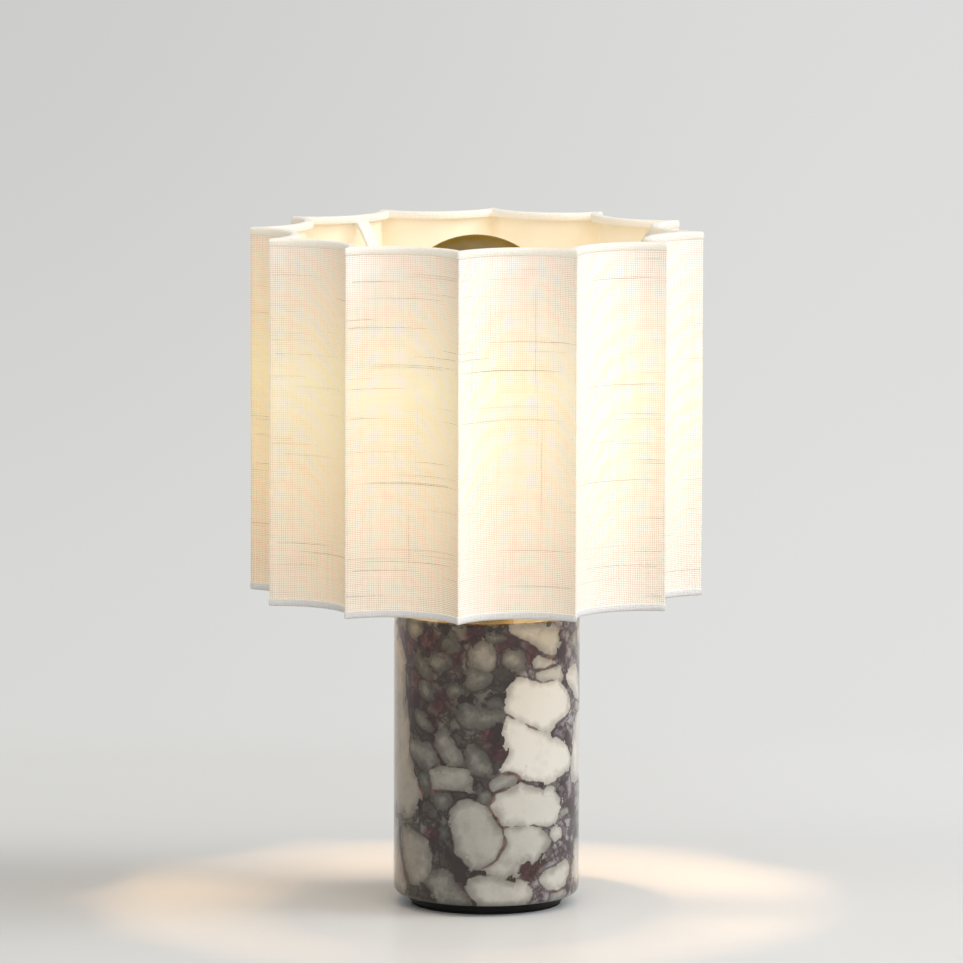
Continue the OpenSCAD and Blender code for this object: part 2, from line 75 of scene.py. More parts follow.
# Base
BASE_X = 6.6 * MM
MARBLE_R = 53.5 * MM
MARBLE_LOW = 5.8 * MM
MARBLE_TOP = 169.3 * MM
CORE_R = 12 * MM
RECESS_R = 30 * MM
RECESS_H = 24 * MM
MARBLE_FOOT = 4.5 * MM
MARBLE_EDGE = 0.8 * MM
CABLE_Z = 20.3 * MM
CABLE_HOLE_R = 6.5 * MM
CABLE_SPOT_R = 9.2 * MM
CABLE_SPOT_Y = 50.9 * MM
CABLE_HOLE_FROM = 20 * MM
OUTSIDE_Y = 70 * MM
PLUG_R = 4.1 * MM
PLUG_RING_R = 38 * MM
PLUG_H = 18 * MM
PLUGS = 3
STONE_FIELDS = ("stone_edge", "stone_gap", "stone_tone", "wine_share")

# Lampholder, cup and spider
CUP_R = 22 * MM
CUP_WALL = 1.2 * MM
CUP_LOW = 170.1 * MM
CUP_TOP = 258.7 * MM
CUP_FLOOR = 2.5 * MM
PIPE_HOLE_R = 5.1 * MM
SEAT_Z = 261.7 * MM
RING_R = 24.3 * MM
ARM_W = 9 * MM
ARM_T = 2 * MM
ARMS = 3

# Bulb
GLOBE_Z = 339.0 * MM
GLASS_R = 47.2 * MM
CROWN_R = 47.5 * MM
CROWN_FROM = 8 * MM
THROAT_R = 12.5 * MM
THROAT_Z = 272.5 * MM
NECK_R = 16.0 * MM
NECK_BLEND = 25 * MM


class Value:
    """A node's socket that takes part in Python sums."""

    def __init__(self, tree, socket):
        self.tree, self.socket = tree, socket

    def sum(self, operation, other, swapped=False):
        pair = (other, self) if swapped else (self, other)
        kind = "ShaderNodeVectorMath" if any(map(has_parts, pair)) else "ShaderNodeMath"
        return self.tree.add(kind, dict(enumerate(pair)), operation=operation)

    def __add__(self, other):
        return self.sum("ADD", other)

    def __radd__(self, other):
        return self.sum("ADD", other, True)

    def __sub__(self, other):
        return self.sum("SUBTRACT", other)

    def __rsub__(self, other):
        return self.sum("SUBTRACT", other, True)

    def __mul__(self, other):
        return self.sum("MULTIPLY", other)

    def __rmul__(self, other):
        return self.sum("MULTIPLY", other, True)

    def __truediv__(self, other):
        return self.sum("DIVIDE", other)

    def __rtruediv__(self, other):
        return self.sum("DIVIDE", other, True)

    def __neg__(self):
        return self * -1.0


def has_parts(value):
    """Whether a value is a vector or a colour."""
    if isinstance(value, Value):
        return value.socket.type in ("VECTOR", "RGBA")
    return isinstance(value, (tuple, Vector))


class Tree:
    """A node tree, with one method that makes any node."""

    def __init__(self, tree):
        self.tree = tree

    def add(self, kind, inputs=None, out=0, **settings):
        node = self.tree.nodes.new(kind)
        stops = settings.pop("stops", None)
        for name, value in settings.items():
            setattr(node, name, value)
        if stops:
            ramp = node.color_ramp
            while len(ramp.elements) < len(stops):
                ramp.elements.new(0.5)
            for element, (place, colour) in zip(ramp.elements, stops):
                element.position = place
                element.color = (*colour, 1)
        for key, value in (inputs or {}).items():
            socket = node.inputs[key]
            if isinstance(value, Value):
                self.tree.links.new(value.socket, socket)
            elif isinstance(value, (int, float)) and socket.type in ("VECTOR", "RGBA"):
                socket.default_value = (value,) * len(socket.default_value)
            elif socket.type == "RGBA":
                socket.default_value = (*value, 1)
            else:
                socket.default_value = value
        return Value(self, node.outputs[out]) if len(node.outputs) else None

    def maths(self, operation, *values):
        return self.add("ShaderNodeMath", dict(enumerate(values)), operation=operation)

    def other(self, value, output):
        """Another output of the node that a value comes from."""
        return Value(self, value.socket.node.outputs[output])

    def parts(self, vector):
        split = self.add("ShaderNodeSeparateXYZ", {0: vector})
        return [self.other(split, i) for i in range(3)]

    def vector(self, x, y, z):
        return self.add("ShaderNodeCombineXYZ", {0: x, 1: y, 2: z})

    def rise(self, value, low, high):
        """0 below low, 1 above high, smooth between them."""
        return self.add("ShaderNodeMapRange", {0: value, 1: low, 2: high}, interpolation_type="SMOOTHSTEP")

    def mix(self, share, first, second):
        return self.add("ShaderNodeMix", {0: share, 6: first, 7: second}, out=2, data_type="RGBA")

    def noise(self, place, scale, detail=2.0, rough=0.5, out=0):
        inputs = {"Vector": place, "Scale": scale, "Detail": detail, "Roughness": rough}
        return self.add("ShaderNodeTexNoise", inputs, out=out)

    def ramp(self, value, stops):
        return self.add("ShaderNodeValToRGB", {0: value}, stops=stops)


class Finish(Tree):
    """A material and its nodes."""

    def __init__(self, name):
        self.material = bpy.data.materials.new(name)
        self.material.use_nodes = True
        super().__init__(self.material.node_tree)
        self.tree.nodes.clear()
        self.place = self.add("ShaderNodeTexCoord", out=3)

    def bump(self, height, strength, distance):
        return self.add("ShaderNodeBump", {"Height": height, "Strength": strength, "Distance": distance})

    def surface(self, **sockets):
        """A Principled surface; a socket's name has spaces where the word here has underscores."""
        inputs = {name.replace("_", " "): value for name, value in sockets.items()}
        return self.show(self.add("ShaderNodeBsdfPrincipled", inputs))

    def show(self, shader):
        self.add("ShaderNodeOutputMaterial", {"Surface": shader})
        return self.material


# Finishes

def threads(tree, along, across, wander):
    """Parallel threads, unevenly spaced: 0 in the gaps and 1 on the threads, and a tone for each thread."""
    shifted = across / THREAD_PITCH + wander * 0.9
    gap = tree.rise(tree.maths("PINGPONG", shifted, 0.5), 0.02, 0.24)
    tone = tree.noise(tree.vector(along * 26.0, shifted * 0.9, 0.0), 1.0, 2.0)
    return gap, tone


def weave(tree, place):
    """Plain weave from a place in metres along and up the cloth: height, tone and fine slubs."""
    u, v, _ = tree.parts(place)
    drift = tree.noise(place, 70.0, 3.0) - 0.5
    drift_up = tree.noise(place + (3.1, 1.7, 0.0), 80.0, 3.0) - 0.5
    weft, weft_tone = threads(tree, u, v, drift)
    warp, warp_tone = threads(tree, v, u, drift_up)
    slub = tree.noise(tree.vector(u * 26.0, v * 1250.0, 2.0), 1.0, 2.0, 0.6)
    slub_up = tree.noise(tree.vector(u * 1250.0, v * 30.0, 7.0), 1.0, 2.0, 0.6)
    fine = tree.rise(slub, 0.64, 0.76) + tree.rise(slub_up, 0.68, 0.80) * 0.6
    return weft * warp, (weft_tone + warp_tone) * 0.5, fine


def linen_finish():
    """Slubbed linen, with a painted warm glow that stands for the bulb's light coming through it."""
    f = Finish("linen")
    cloth = f.add("ShaderNodeUVMap", uv_map="cloth")
    u, v, _ = f.parts(cloth)
    mesh, tone, fine = weave(f, cloth)
    patch = f.noise(cloth, 30.0, 3.0, 0.6)
    grid = 1.0 + (mesh - 0.62) * (0.34 + f.rise(patch, 0.35, 0.65) * 0.30)
    value = grid * (0.84 + tone * 0.32) * (1.0 - fine * 0.16)
    colour = value * (0.740, 0.755, 0.785)
    level = v / (SHADE_TOP - SHADE_BOTTOM)
    # Painted glow of the bulb's light: strongest a little above the middle height, dimmer at the folds
    glow = f.ramp(level, [
        (0.0, (0.290, 0.185, 0.050)), (0.11, (0.340, 0.195, 0.035)), (0.33, (0.430, 0.275, 0.065)),
        (0.60, (0.475, 0.350, 0.100)), (0.82, (0.400, 0.265, 0.090)), (1.0, (0.32, 0.205, 0.09))])
    across = f.maths("PINGPONG", u / PANEL_LENGTH, 0.5) * 2.0
    fold = 1.0 - f.rise(across, 0.0, 0.07)
    through = (0.90 + f.rise(across, 0.0, 0.8) * 0.14 - fold * 0.16) * (0.20 + value * 0.80)
    # Painted warmer glow, with less blue, on the shade's leftmost fold, which the light from the right does not reach
    x, _, _ = f.parts(f.place)
    painted_warm_glow_left = 1.0 - f.rise(x, -0.124, -0.114)
    through = through * (1.0 + painted_warm_glow_left * (0.14, 0.03, -0.45))
    bump = f.bump(mesh + tone * 0.8 + fine * 0.8, 0.6, 0.16 * MM)
    return f.surface(Base_Color=colour, Roughness=0.9, Specular_IOR_Level=0.1, Sheen_Weight=0.1,
                     Sheen_Roughness=0.5, Emission_Color=glow * through, Emission_Strength=1.0, Normal=bump)


def slub_finish():
    """The thick yarns that lie proud of the weave: a dark colour as painted shade where they hold back the bulb's
    light, and a faint painted glow of that light.
    """
    f = Finish("slub_yarn")
    shade = f.noise(f.place, 420.0, 2.0)
    colour = f.ramp(shade, [(0.3, (0.17, 0.20, 0.17)), (0.6, (0.27, 0.30, 0.265)), (0.8, (0.39, 0.42, 0.38))])
    twist = f.bump(f.noise(f.place, 2600.0, 1.0), 0.5, 0.06 * MM)
    return f.surface(Base_Color=colour, Roughness=0.92, Specular_IOR_Level=0.1, Emission_Color=colour,
                     Emission_Strength=0.35, Normal=twist)


def hem_finish():
    """Plain tape, thick enough to keep most of the light in; its inner leg faces the bulb and has a painted glow of
    the bulb's light, and the lower tape has a little more painted glow.
    """
    f = Finish("hem_tape")
    tape = f.add("ShaderNodeUVMap", uv_map="cloth")
    _, v, _ = f.parts(tape)
    mesh, tone, _ = weave(f, tape * 1.2)
    fuzz = f.noise(f.place, 1100.0, 3.0, 0.7)
    value = mesh * 0.25 + tone * 0.35 + fuzz * 0.45
    colour = f.ramp(value, [(0.28, (0.48, 0.48, 0.475)), (0.52, (0.66, 0.66, 0.655)), (0.75, (0.82, 0.82, 0.815))])
    # Painted glow: none on the outer leg, rising to warm on the inner leg
    legs = v / (18 * MM)
    lit = f.ramp(legs, [(0.20, (0.01, 0.01, 0.01)), (0.34, (0.07, 0.07, 0.06)), (0.52, (0.36, 0.31, 0.22))])
    _, _, z = f.parts(f.place)
    # Painted glow added to the lower tape
    lower = 1.0 - f.rise(z, 0.20, 0.30)
    lit = lit + lower * (0.15, 0.145, 0.135)
    bump = f.bump(mesh * 0.6 + fuzz * 1.6, 0.9, 0.22 * MM)
    return f.surface(Base_Color=colour, Roughness=0.95, Specular_IOR_Level=0.08, Sheen_Weight=0.2,
                     Sheen_Roughness=0.6, Emission_Color=lit, Emission_Strength=1.0, Normal=bump)


def liner_finish():
    """The stiff backing: warm, with a painted glow of the bulb's light that is brightest at the bottom and fades
    towards the top.
    """
    f = Finish("shade_backing")
    _, _, z = f.parts(f.place)
    level = (z - SHADE_BOTTOM) / (SHADE_TOP - SHADE_BOTTOM)
    cloud = f.noise(f.place, 38.0, 3.0)
    glow = f.ramp(level, [
        (0.0, (0.46, 0.31, 0.13)), (0.35, (0.36, 0.29, 0.18)),
        (0.9, (0.26, 0.225, 0.155)), (1.0, (0.22, 0.185, 0.125))])
    colour = f.ramp(cloud, [(0.3, (0.76, 0.69, 0.57)), (0.7, (0.82, 0.76, 0.65))])
    grain = f.bump(f.noise(f.place, 1500.0, 2.0), 0.2, 0.05 * MM)
    return f.surface(Base_Color=colour, Roughness=0.62, Emission_Color=glow * (0.9 + cloud * 0.2),
                     Emission_Strength=1.0, Normal=grain)


def marble_finish():
    """Cream stones that meet in wine-dark veins, in a ground of grey-green and violet fragments, polished."""
    f = Finish("marble")
    edge, gap, tone, wine_share = [f.add("ShaderNodeAttribute", out=2, attribute_name=name) for name in STONE_FIELDS]
    cloud = f.noise(f.place + (0.5, 0.0, 0.2), 42.0, 3.0)
    wisps = f.noise(f.place + (0.3, 0.1, 0.7), 120.0, 5.0, 0.66)
    speck = f.noise(f.place + (0.1, 0.8, 0.3), 800.0, 3.0, 0.65)
    broad = f.noise(f.place + (0.7, 0.2, 0.1), 75.0, 2.0)
    bent = f.place + (f.noise(f.place, 90.0, 3.0, 0.6, out=1) - (0.5, 0.5, 0.5)) * 0.020
    cells = {"Vector": bent, "Scale": 105.0}
    chip = f.parts(f.add("ShaderNodeTexVoronoi", cells, out=1))[0]
    ragged = (f.noise(f.place, 50.0, 4.0, 0.62) - 0.5) * 6.0 + (speck - 0.5) * 0.9
    rim = edge + 1.2 + ragged + (chip - 0.5) * 2.6
    inside = f.rise(rim, -0.40 - (1.0 - tone) * 0.8, 0.45 + (1.0 - tone) * 1.4)
    width = f.rise(broad, 0.38, 0.66) * 1.5 + 0.2
    near = gap * 0.5 + (wisps - 0.5) * 1.4
    vein = 1.0 - f.rise(near / width, 0.30, 1.0)
    depth = f.maths("MINIMUM", rim, gap * 0.6 + 1.2)
    core = f.rise(depth + (cloud - 0.5) * 7.0 + (wisps - 0.5) * 2.5, -0.5, 7.0)
    pale = f.ramp(core * 0.50 + cloud * 0.35 + wisps * 0.30, [
        (0.05, (0.285, 0.270, 0.232)), (0.40, (0.46, 0.44, 0.395)), (0.80, (0.72, 0.695, 0.64))])
    grey = f.ramp(core * 0.32 + wisps * 0.80, [
        (0.22, (0.030, 0.026, 0.022)), (0.58, (0.095, 0.092, 0.080)), (0.85, (0.230, 0.225, 0.195))])
    stone = f.mix(f.rise(tone, 0.35, 1.05), grey, pale)
    seam = f.add("ShaderNodeTexVoronoi", cells, feature="DISTANCE_TO_EDGE") + (wisps - 0.5) * 0.45
    value = wisps * 0.70 + chip * 0.20 + speck * 0.20
    green = f.ramp(chip * 0.40 + cloud * 0.35 + wisps * 0.35, [
        (0.34, (0.018, 0.0095, 0.0080)), (0.52, (0.080, 0.072, 0.060)), (0.78, (0.190, 0.184, 0.160))])
    wine = f.ramp(value, [
        (0.36, (0.012, 0.0045, 0.0045)), (0.53, (0.060, 0.019, 0.020)), (0.80, (0.15, 0.075, 0.075))])
    violet = f.ramp(value, [
        (0.38, (0.038, 0.024, 0.027)), (0.52, (0.185, 0.148, 0.165)), (0.70, (0.44, 0.40, 0.42))])
    x, _, _ = f.parts(f.place)
    right = f.rise(x + (cloud - 0.5) * 0.06, 0.014, 0.045)
    wine_here = f.rise(wine_share + (wisps - 0.5) * 1.3, 0.20, 0.70)
    ground = f.mix(wine_here, f.mix(right, green, violet), wine)
    lines = (1.0 - f.rise(seam, 0.02, 0.22)) * 0.75
    border = f.rise(rim, -2.0, -0.5) * f.rise(wisps, 0.36, 0.60) * 0.8
    ground = f.mix(f.maths("MAXIMUM", lines, border), ground, (0.020, 0.0075, 0.0068))
    joint = f.mix(f.rise(wisps, 0.42, 0.60), (0.150, 0.080, 0.062), (0.030, 0.013, 0.012))
    colour = f.mix(inside, ground, f.mix(vein * 0.9, stone, joint))
    stain = f.noise(f.place + (0.2, 0.6, 0.4), 130.0, 4.0, 0.6)
    colour = f.mix(f.rise(stain, 0.62, 0.74) * inside * 0.25, colour, (0.36, 0.21, 0.16))
    # Painted warm light: the left side of the marble is tinted browner, with less green and blue
    painted_warm_light_left = 1.0 - f.rise(x, -0.050, -0.022)
    colour = colour * (1.0 - painted_warm_light_left * (0.0, 0.13, 0.26))
    wear = f.bump(speck, 0.05, 0.04 * MM)
    return f.surface(Base_Color=colour, Roughness=0.13 - inside * 0.04, IOR=1.5, Coat_Weight=0.3,
                     Coat_Roughness=0.04, Normal=wear)


def metal_finish(name, colour, dull, rough, scale=160.0):
    """Metal whose tone and gloss wander between a clean and a dulled state."""
    f = Finish(name)
    spot = f.noise(f.place, scale, 4.0, 0.6)
    fine = f.noise(f.place, scale * 9.0, 2.0)
    shade = f.mix(f.rise(spot, 0.35, 0.75), colour, dull)
    gloss = rough * 0.8 + spot * (rough * 0.5)
    return f.surface(Base_Color=shade, Metallic=1.0, Roughness=gloss, Normal=f.bump(fine, 0.25, 0.04 * MM))


def moulded_finish(name, colour, light, rough, scale, relief, specular=0.5):
    """Moulded, painted or fired surfaces: a fine grain, and a tone that drifts a little."""
    f = Finish(name)
    grain = f.noise(f.place, scale, 3.0, 0.6)
    drift = f.noise(f.place, 45.0, 3.0)
    shade = f.mix(f.rise(drift * 0.7 + grain * 0.3, 0.35, 0.65), colour, light)
    return f.surface(Base_Color=shade, Roughness=rough + (grain - 0.5) * 0.15, Specular_IOR_Level=specular,
                     Normal=f.bump(grain, 0.3, relief * MM))


def glass_finish():
    """Thin clear glass: clear, with the gloss of its two faces."""
    f = Finish("clear_glass")
    film = f.noise(f.place, 30.0, 2.0)
    clear = f.add("ShaderNodeBsdfTransparent", {"Color": (0.975, 0.965, 0.94)})
    gloss = f.add("ShaderNodeBsdfGlossy", {"Color": (1.0, 0.98, 0.95), "Roughness": 0.02})
    facing = f.add("ShaderNodeFresnel", {"IOR": 1.45})
    return f.show(f.add("ShaderNodeMixShader", {0: facing * (0.85 + film * 0.3), 1: clear, 2: gloss}))


def crown_finish():
    """Gold mirror behind the glass of the globe, its colour darkened all over as painted shade for the dark room it
    reflects.
    """
    f = Finish("gold_mirror")
    cloud = f.noise(f.place, 26.0, 4.0, 0.6)
    speck = f.noise(f.place, 900.0, 2.0)
    colour = f.ramp(cloud, [(0.3, (0.36, 0.25, 0.13)), (0.7, (0.50, 0.36, 0.19))])
    return f.surface(Base_Color=colour, Metallic=1.0, Roughness=0.19 + speck * 0.06, Specular_Tint=(0.55, 0.42, 0.20))


def phosphor_finish():
    """The coating on the filaments, lit."""
    f = Finish("phosphor")
    bead = f.noise(f.place, 800.0, 2.0)
    colour = f.ramp(bead, [(0.3, (0.80, 0.52, 0.16)), (0.7, (0.92, 0.70, 0.28))])
    return f.surface(Base_Color=colour, Roughness=0.5, Emission_Color=(1.0, 0.62, 0.24), Emission_Strength=2.2)


# Making of meshes

def put(name, data):
    """An object in the scene for a mesh, lamp or camera."""
    made = bpy.data.objects.new(name, data)
    bpy.context.scene.collection.objects.link(made)
    return made


def new_mesh(name, points=(), faces=()):
    mesh = bpy.data.meshes.new(name)
    mesh.from_pydata(points, [], faces)
    return mesh


def cloth_piece(name, points, faces, uvs, slot, replaces, sharp):
    """A mesh that rides on the shade; uvs are one place on the cloth for each corner of each face."""
    mesh = new_mesh(name, points, faces)
    layer = mesh.uv_layers.new(name="cloth")
    layer.data.foreach_set("uv", np.asarray(uvs, np.float32).ravel())
    mesh.update()
    return dress(name, mesh, "shade", slot, replaces, sharp)


def dress(name, mesh, body, slot, replaces=(), sharp=40, finish=None):
    """An object for a mesh, with its finish, its body and the nodes that it stands for."""
    mesh.materials.clear()
    mesh.materials.append(finish or FINISHES[slot])
    mesh.shade_smooth()
    if sharp:
        mesh.set_sharp_from_angle(angle=math.radians(sharp))
    made = put(name, mesh)
    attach(made, body)
    if replaces:
        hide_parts(*replaces)
    return made


def faced_out(mesh):
    """Merges doubles and turns every face of a closed mesh outwards."""
    work = bmesh.new()
    work.from_mesh(mesh)
    bmesh.ops.remove_doubles(work, verts=work.verts, dist=1e-6)
    bmesh.ops.recalc_face_normals(work, faces=work.faces)
    work.to_mesh(mesh)
    work.free()
    mesh.update()
    return mesh


def corner(before, at, after, radius, steps):
    """Points of the arc that rounds a corner of a line."""
    a = (before - at).normalized()
    b = (after - at).normalized()
    half = math.acos(max(-1.0, min(1.0, a.dot(b)))) / 2
    middle = at + (a + b).normalized() * (radius / math.sin(half))
    start = at + a * (radius / math.tan(half)) - middle
    end = at + b * (radius / math.tan(half)) - middle
    first = math.atan2(start.y, start.x)
    turn = math.atan2(start.x * end.y - start.y * end.x, start.dot(end))
    return [middle + radius * Vector((math.cos(first + turn * i / steps), math.sin(first + turn * i / steps)))
            for i in range(steps + 1)]


def rounded_line(points, radii, steps=5, closed=True):
    """A line whose corner i is rounded by radii[i]; 0 keeps it sharp."""
    line = []
    count = len(points)
    for i, at in enumerate(points):
        at = Vector(at)
        if radii[i] == 0 or (not closed and i in (0, count - 1)):
            line.append(at)
        else:
            line += corner(Vector(points[i - 1]), at, Vector(points[(i + 1) % count]), radii[i], steps)
    return line


def arc(centre, radius, first, last, steps):
    """Points on a circle from one angle to another, both ends included."""
    turns = [first + (last - first) * i / steps for i in range(steps + 1)]
    return [(centre[0] + radius * math.cos(a), centre[1] + radius * math.sin(a)) for a in turns]


def turned(x, y, angle):
    """A place turned about the axis."""
    return x * math.cos(angle) - y * math.sin(angle), x * math.sin(angle) + y * math.cos(angle)


def spin(section, sides, centre_x=0.0):
    """Points and faces of a closed section of (radius, height) turned about an upright axis."""
    count = len(section)
    turns = [2 * math.pi * k / sides for k in range(sides)]
    points = [(centre_x + r * math.cos(t), r * math.sin(t), z) for t in turns for r, z in section]
    faces = []
    for k in range(sides):
        here, there = k * count, (k + 1) % sides * count
        for i in range(count):
            j = (i + 1) % count
            faces.append((here + i, there + i, there + j, here + j))
    return points, faces


def spun_piece(name, section, body, slot, replaces, sides, sharp):
    """A turned piece; a section that touches the axis closes there."""
    mesh = new_mesh(name, *spin(section, sides))
    mesh.validate()
    return dress(name, faced_out(mesh), body, slot, replaces, sharp)


# Shade

def shade_outline(inset, arc_steps=30, fold_steps=6):
    """The shade's plan at an inset from its outer face, once round, each fold a little rounded."""
    least = 0.05 * MM
    round_r = max(FOLD_ROUND - (inset - LINEN_OUT), least)
    side = BOW_X * math.sin(PANEL_ANGLE / 2)
    along = BOW_X * math.cos(PANEL_ANGLE / 2)
    fold_x = along - math.sqrt((BOW_R + inset + round_r) ** 2 - side ** 2)
    fold_turn = math.atan2(side, along - fold_x)
    sweep = fold_turn - PANEL_ANGLE / 2
    line = []
    for k in range(PANELS):
        middle = SHADE_TURN + (k + 0.5) * PANEL_ANGLE
        for j in range(arc_steps + 1):
            a = sweep * (2 * j / arc_steps - 1)
            x, y = BOW_X - (BOW_R + inset) * math.cos(a), (BOW_R + inset) * math.sin(a)
            line.append(turned(x, y, middle))
        fold = SHADE_TURN + (k + 1) * PANEL_ANGLE
        for j in range(1, fold_steps):
            a = fold_turn * (2 * j / fold_steps - 1)
            line.append(turned(fold_x + round_r * math.cos(a), round_r * math.sin(a), fold))
    return np.array(line)


def round_length(line):
    """Distance along a closed line at each of its points, and at its end."""
    steps = np.linalg.norm(np.roll(line, -1, axis=0) - line, axis=1)
    return np.concatenate([[0.0], np.cumsum(steps)])


PANEL_LENGTH = round_length(shade_outline(LINEN_OUT))[-1] / PANELS


def round_shade(name, section, slot, replaces, sharp=40, ripple=0.0):
    """A closed section of (inset, height) carried round the shade, with the cloth's own measure on it."""
    loops = [shade_outline(inset) for inset, _ in section]
    u = round_length(shade_outline(LINEN_OUT))
    count = len(loops[0])
    rows = len(section)
    points = []
    for (_, z), line in zip(section, loops):
        radius = np.linalg.norm(line, axis=1, keepdims=True)
        wave = ripple * (np.sin(u[:-1, None] * 61.0 + z * 23.0) + np.sin(u[:-1, None] * 37.0 - z * 47.0 + 1.3))
        line = line * (1 + wave / radius)
        points += [(x, y, z) for x, y in line]
    faces, uvs = [], []
    v = [0.0]
    for i in range(rows):
        (d0, z0), (d1, z1) = section[i], section[(i + 1) % rows]
        v.append(v[-1] + math.hypot(d1 - d0, z1 - z0))
    for i in range(rows):
        low, high = i * count, (i + 1) % rows * count
        for k in range(count):
            j = (k + 1) % count
            faces.append((low + k, low + j, high + j, high + k))
            uvs += [(u[k], v[i]), (u[k + 1], v[i]), (u[k + 1], v[i + 1]), (u[k], v[i + 1])]
    return cloth_piece(name, points, faces, uvs, slot, replaces, sharp)


def sheet_section(outer, inner, rows):
    """Section of a wall: up its outer face and down its inner one."""
    heights = [CLOTH_LOW + (CLOTH_HIGH - CLOTH_LOW) * i / rows for i in range(rows + 1)]
    return [(outer, z) for z in heights] + [(inner, z) for z in reversed(heights)]


def hem_section(edge, away):
    """Section of the tape round a rim; edge is the rim's height, away is -1 where the shade lies below it."""
    tip = edge + away * HEM_H
    bend = [(depth * MM, edge + away * height * MM) for depth, height in HEM_BEND]
    outside = [(HEM_OUT + depth, z) for depth, z in bend] + [(HEM_IN - depth, z) for depth, z in reversed(bend)]
    fold, fold_z, round_z = 0.7 * MM, edge + away * 0.5 * MM, edge + away * 1.2 * MM
    outer_leg, inner_leg = HEM_OUT + HEM_TAPE * 0.7, HEM_IN - HEM_TAPE
    inside = [(inner_leg, tip), (inner_leg, round_z), (inner_leg - fold, fold_z),
              (outer_leg + fold, fold_z), (outer_leg, round_z), (outer_leg, tip)]
    section = outside + inside
    return section if away > 0 else section[::-1]


def slub_tree(finish):
    """Thick yarns scattered on the shade: short lines on the flat cloth, bent round its panels."""
    group = bpy.data.node_groups.new("slub_yarns", "GeometryNodeTree")
    ports = {}
    for name, kind in (("Count", "Int"), ("Shortest", "Float"), ("Longest", "Float"), ("Thickness", "Float"),
                       ("Upright", "Float"), ("Seed", "Int")):
        port = group.interface.new_socket(name, in_out="INPUT", socket_type="NodeSocket" + kind)
        ports[name] = port.identifier
    group.interface.new_socket("Yarns", in_out="OUTPUT", socket_type="NodeSocketGeometry")
    t = Tree(group)
    entry = group.nodes.new("NodeGroupInput")
    size = {name: Value(t, entry.outputs[name]) for name in ports}

    def chance(kind, low, high, step, ident=None):
        first = {"FLOAT_VECTOR": 0, "FLOAT": 2}[kind]
        inputs = {first: low, first + 1: high, 8: size["Seed"] + step}
        if ident is not None:
            inputs[7] = ident
        return t.add("FunctionNodeRandomValue", inputs, out=first // 2, data_type=kind)

    margin = HEM_H + 1 * MM
    spot = chance("FLOAT_VECTOR", (0.0, 0.0, SHADE_BOTTOM + margin),
                  (PANEL_LENGTH * PANELS, 0.0, SHADE_TOP - margin), 1)
    spots = t.add("GeometryNodePoints", {"Count": size["Count"], "Position": spot, "Radius": 0.001})
    line = t.add("GeometryNodeCurvePrimitiveLine", {0: (-0.5, 0.0, 0.0), 1: (0.5, 0.0, 0.0)})
    line = t.add("GeometryNodeResampleCurve", {"Curve": line, "Count": 13})
    reach = chance("FLOAT", size["Shortest"], size["Longest"], 2)
    lean = t.vector(0.0, size["Upright"] * (-math.pi / 2), 0.0)
    lines = t.add("GeometryNodeInstanceOnPoints", {"Points": spots, "Instance": line, "Rotation": lean,
                                                   "Scale": t.vector(reach, 1.0, 1.0)})
    lines = t.add("GeometryNodeRealizeInstances", {0: lines})
    here = t.add("GeometryNodeInputPosition")
    wander = (t.noise(here, 130.0, 2.0, 0.5, out=1) - (0.5, 0.5, 0.5)) * (0.9 * MM)
    s, _, z = t.parts(here + wander)
    top, low = SHADE_TOP - HEM_H, SHADE_BOTTOM + HEM_H
    z = t.maths("MINIMUM", t.maths("MAXIMUM", z, low), top)
    panel = t.maths("FLOOR", s / PANEL_LENGTH)
    radius = BOW_R + LINEN_OUT - 0.02 * MM
    angle = (s - (panel + 0.5) * PANEL_LENGTH) / radius
    edge = PANEL_LENGTH / 2 / radius * 0.985
    angle = t.maths("MINIMUM", t.maths("MAXIMUM", angle, -edge), edge)
    x = BOW_X - t.maths("COSINE", angle) * radius
    y = t.maths("SINE", angle) * radius
    middle = (panel + 0.5) * PANEL_ANGLE + SHADE_TURN
    cos_m, sin_m = t.maths("COSINE", middle), t.maths("SINE", middle)
    bent = t.vector(x * cos_m - y * sin_m, x * sin_m + y * cos_m, z)
    lines = t.add("GeometryNodeSetPosition", {"Geometry": lines, "Position": bent})
    which = t.add("GeometryNodeCurveOfPoint", out=0)
    factor = t.add("GeometryNodeSplineParameter")
    taper = t.maths("POWER", t.maths("SINE", factor * math.pi), 0.55)
    full = chance("FLOAT", 0.45, 1.0, 3, which) * size["Thickness"]
    lines = t.add("GeometryNodeSetCurveRadius", {"Curve": lines, "Radius": full * (taper * 0.95 + 0.05)})
    ring = t.add("GeometryNodeCurvePrimitiveCircle", {"Resolution": 5, "Radius": 1.0})
    tubes = t.add("GeometryNodeCurveToMesh", {"Curve": lines, "Profile Curve": ring, "Fill Caps": True,
                                              "Scale": t.add("GeometryNodeInputRadius")})
    tubes = t.add("GeometryNodeRealizeInstances", {0: tubes})
    tubes = t.add("GeometryNodeSetMaterial", {"Geometry": tubes, "Material": finish})
    t.add("NodeGroupOutput", {0: tubes})
    return group, ports


def grown_piece(name, tree, ports, finish, sizes):
    """Runs a geometry tree with these sizes and keeps its result as a plain mesh."""
    maker = put(name + "_maker", new_mesh(name + "_maker"))
    modifier = maker.modifiers.new("yarns", "NODES")
    modifier.node_group = tree
    for label, value in sizes.items():
        modifier[ports[label]] = value
    graph = bpy.context.evaluated_depsgraph_get()
    mesh = bpy.data.meshes.new_from_object(maker.evaluated_get(graph), depsgraph=graph)
    maker.modifiers.remove(modifier)
    bpy.data.objects.remove(maker)
    mesh.name = name
    return dress(name, mesh, "shade", "linen", sharp=0, finish=finish)


# Marble

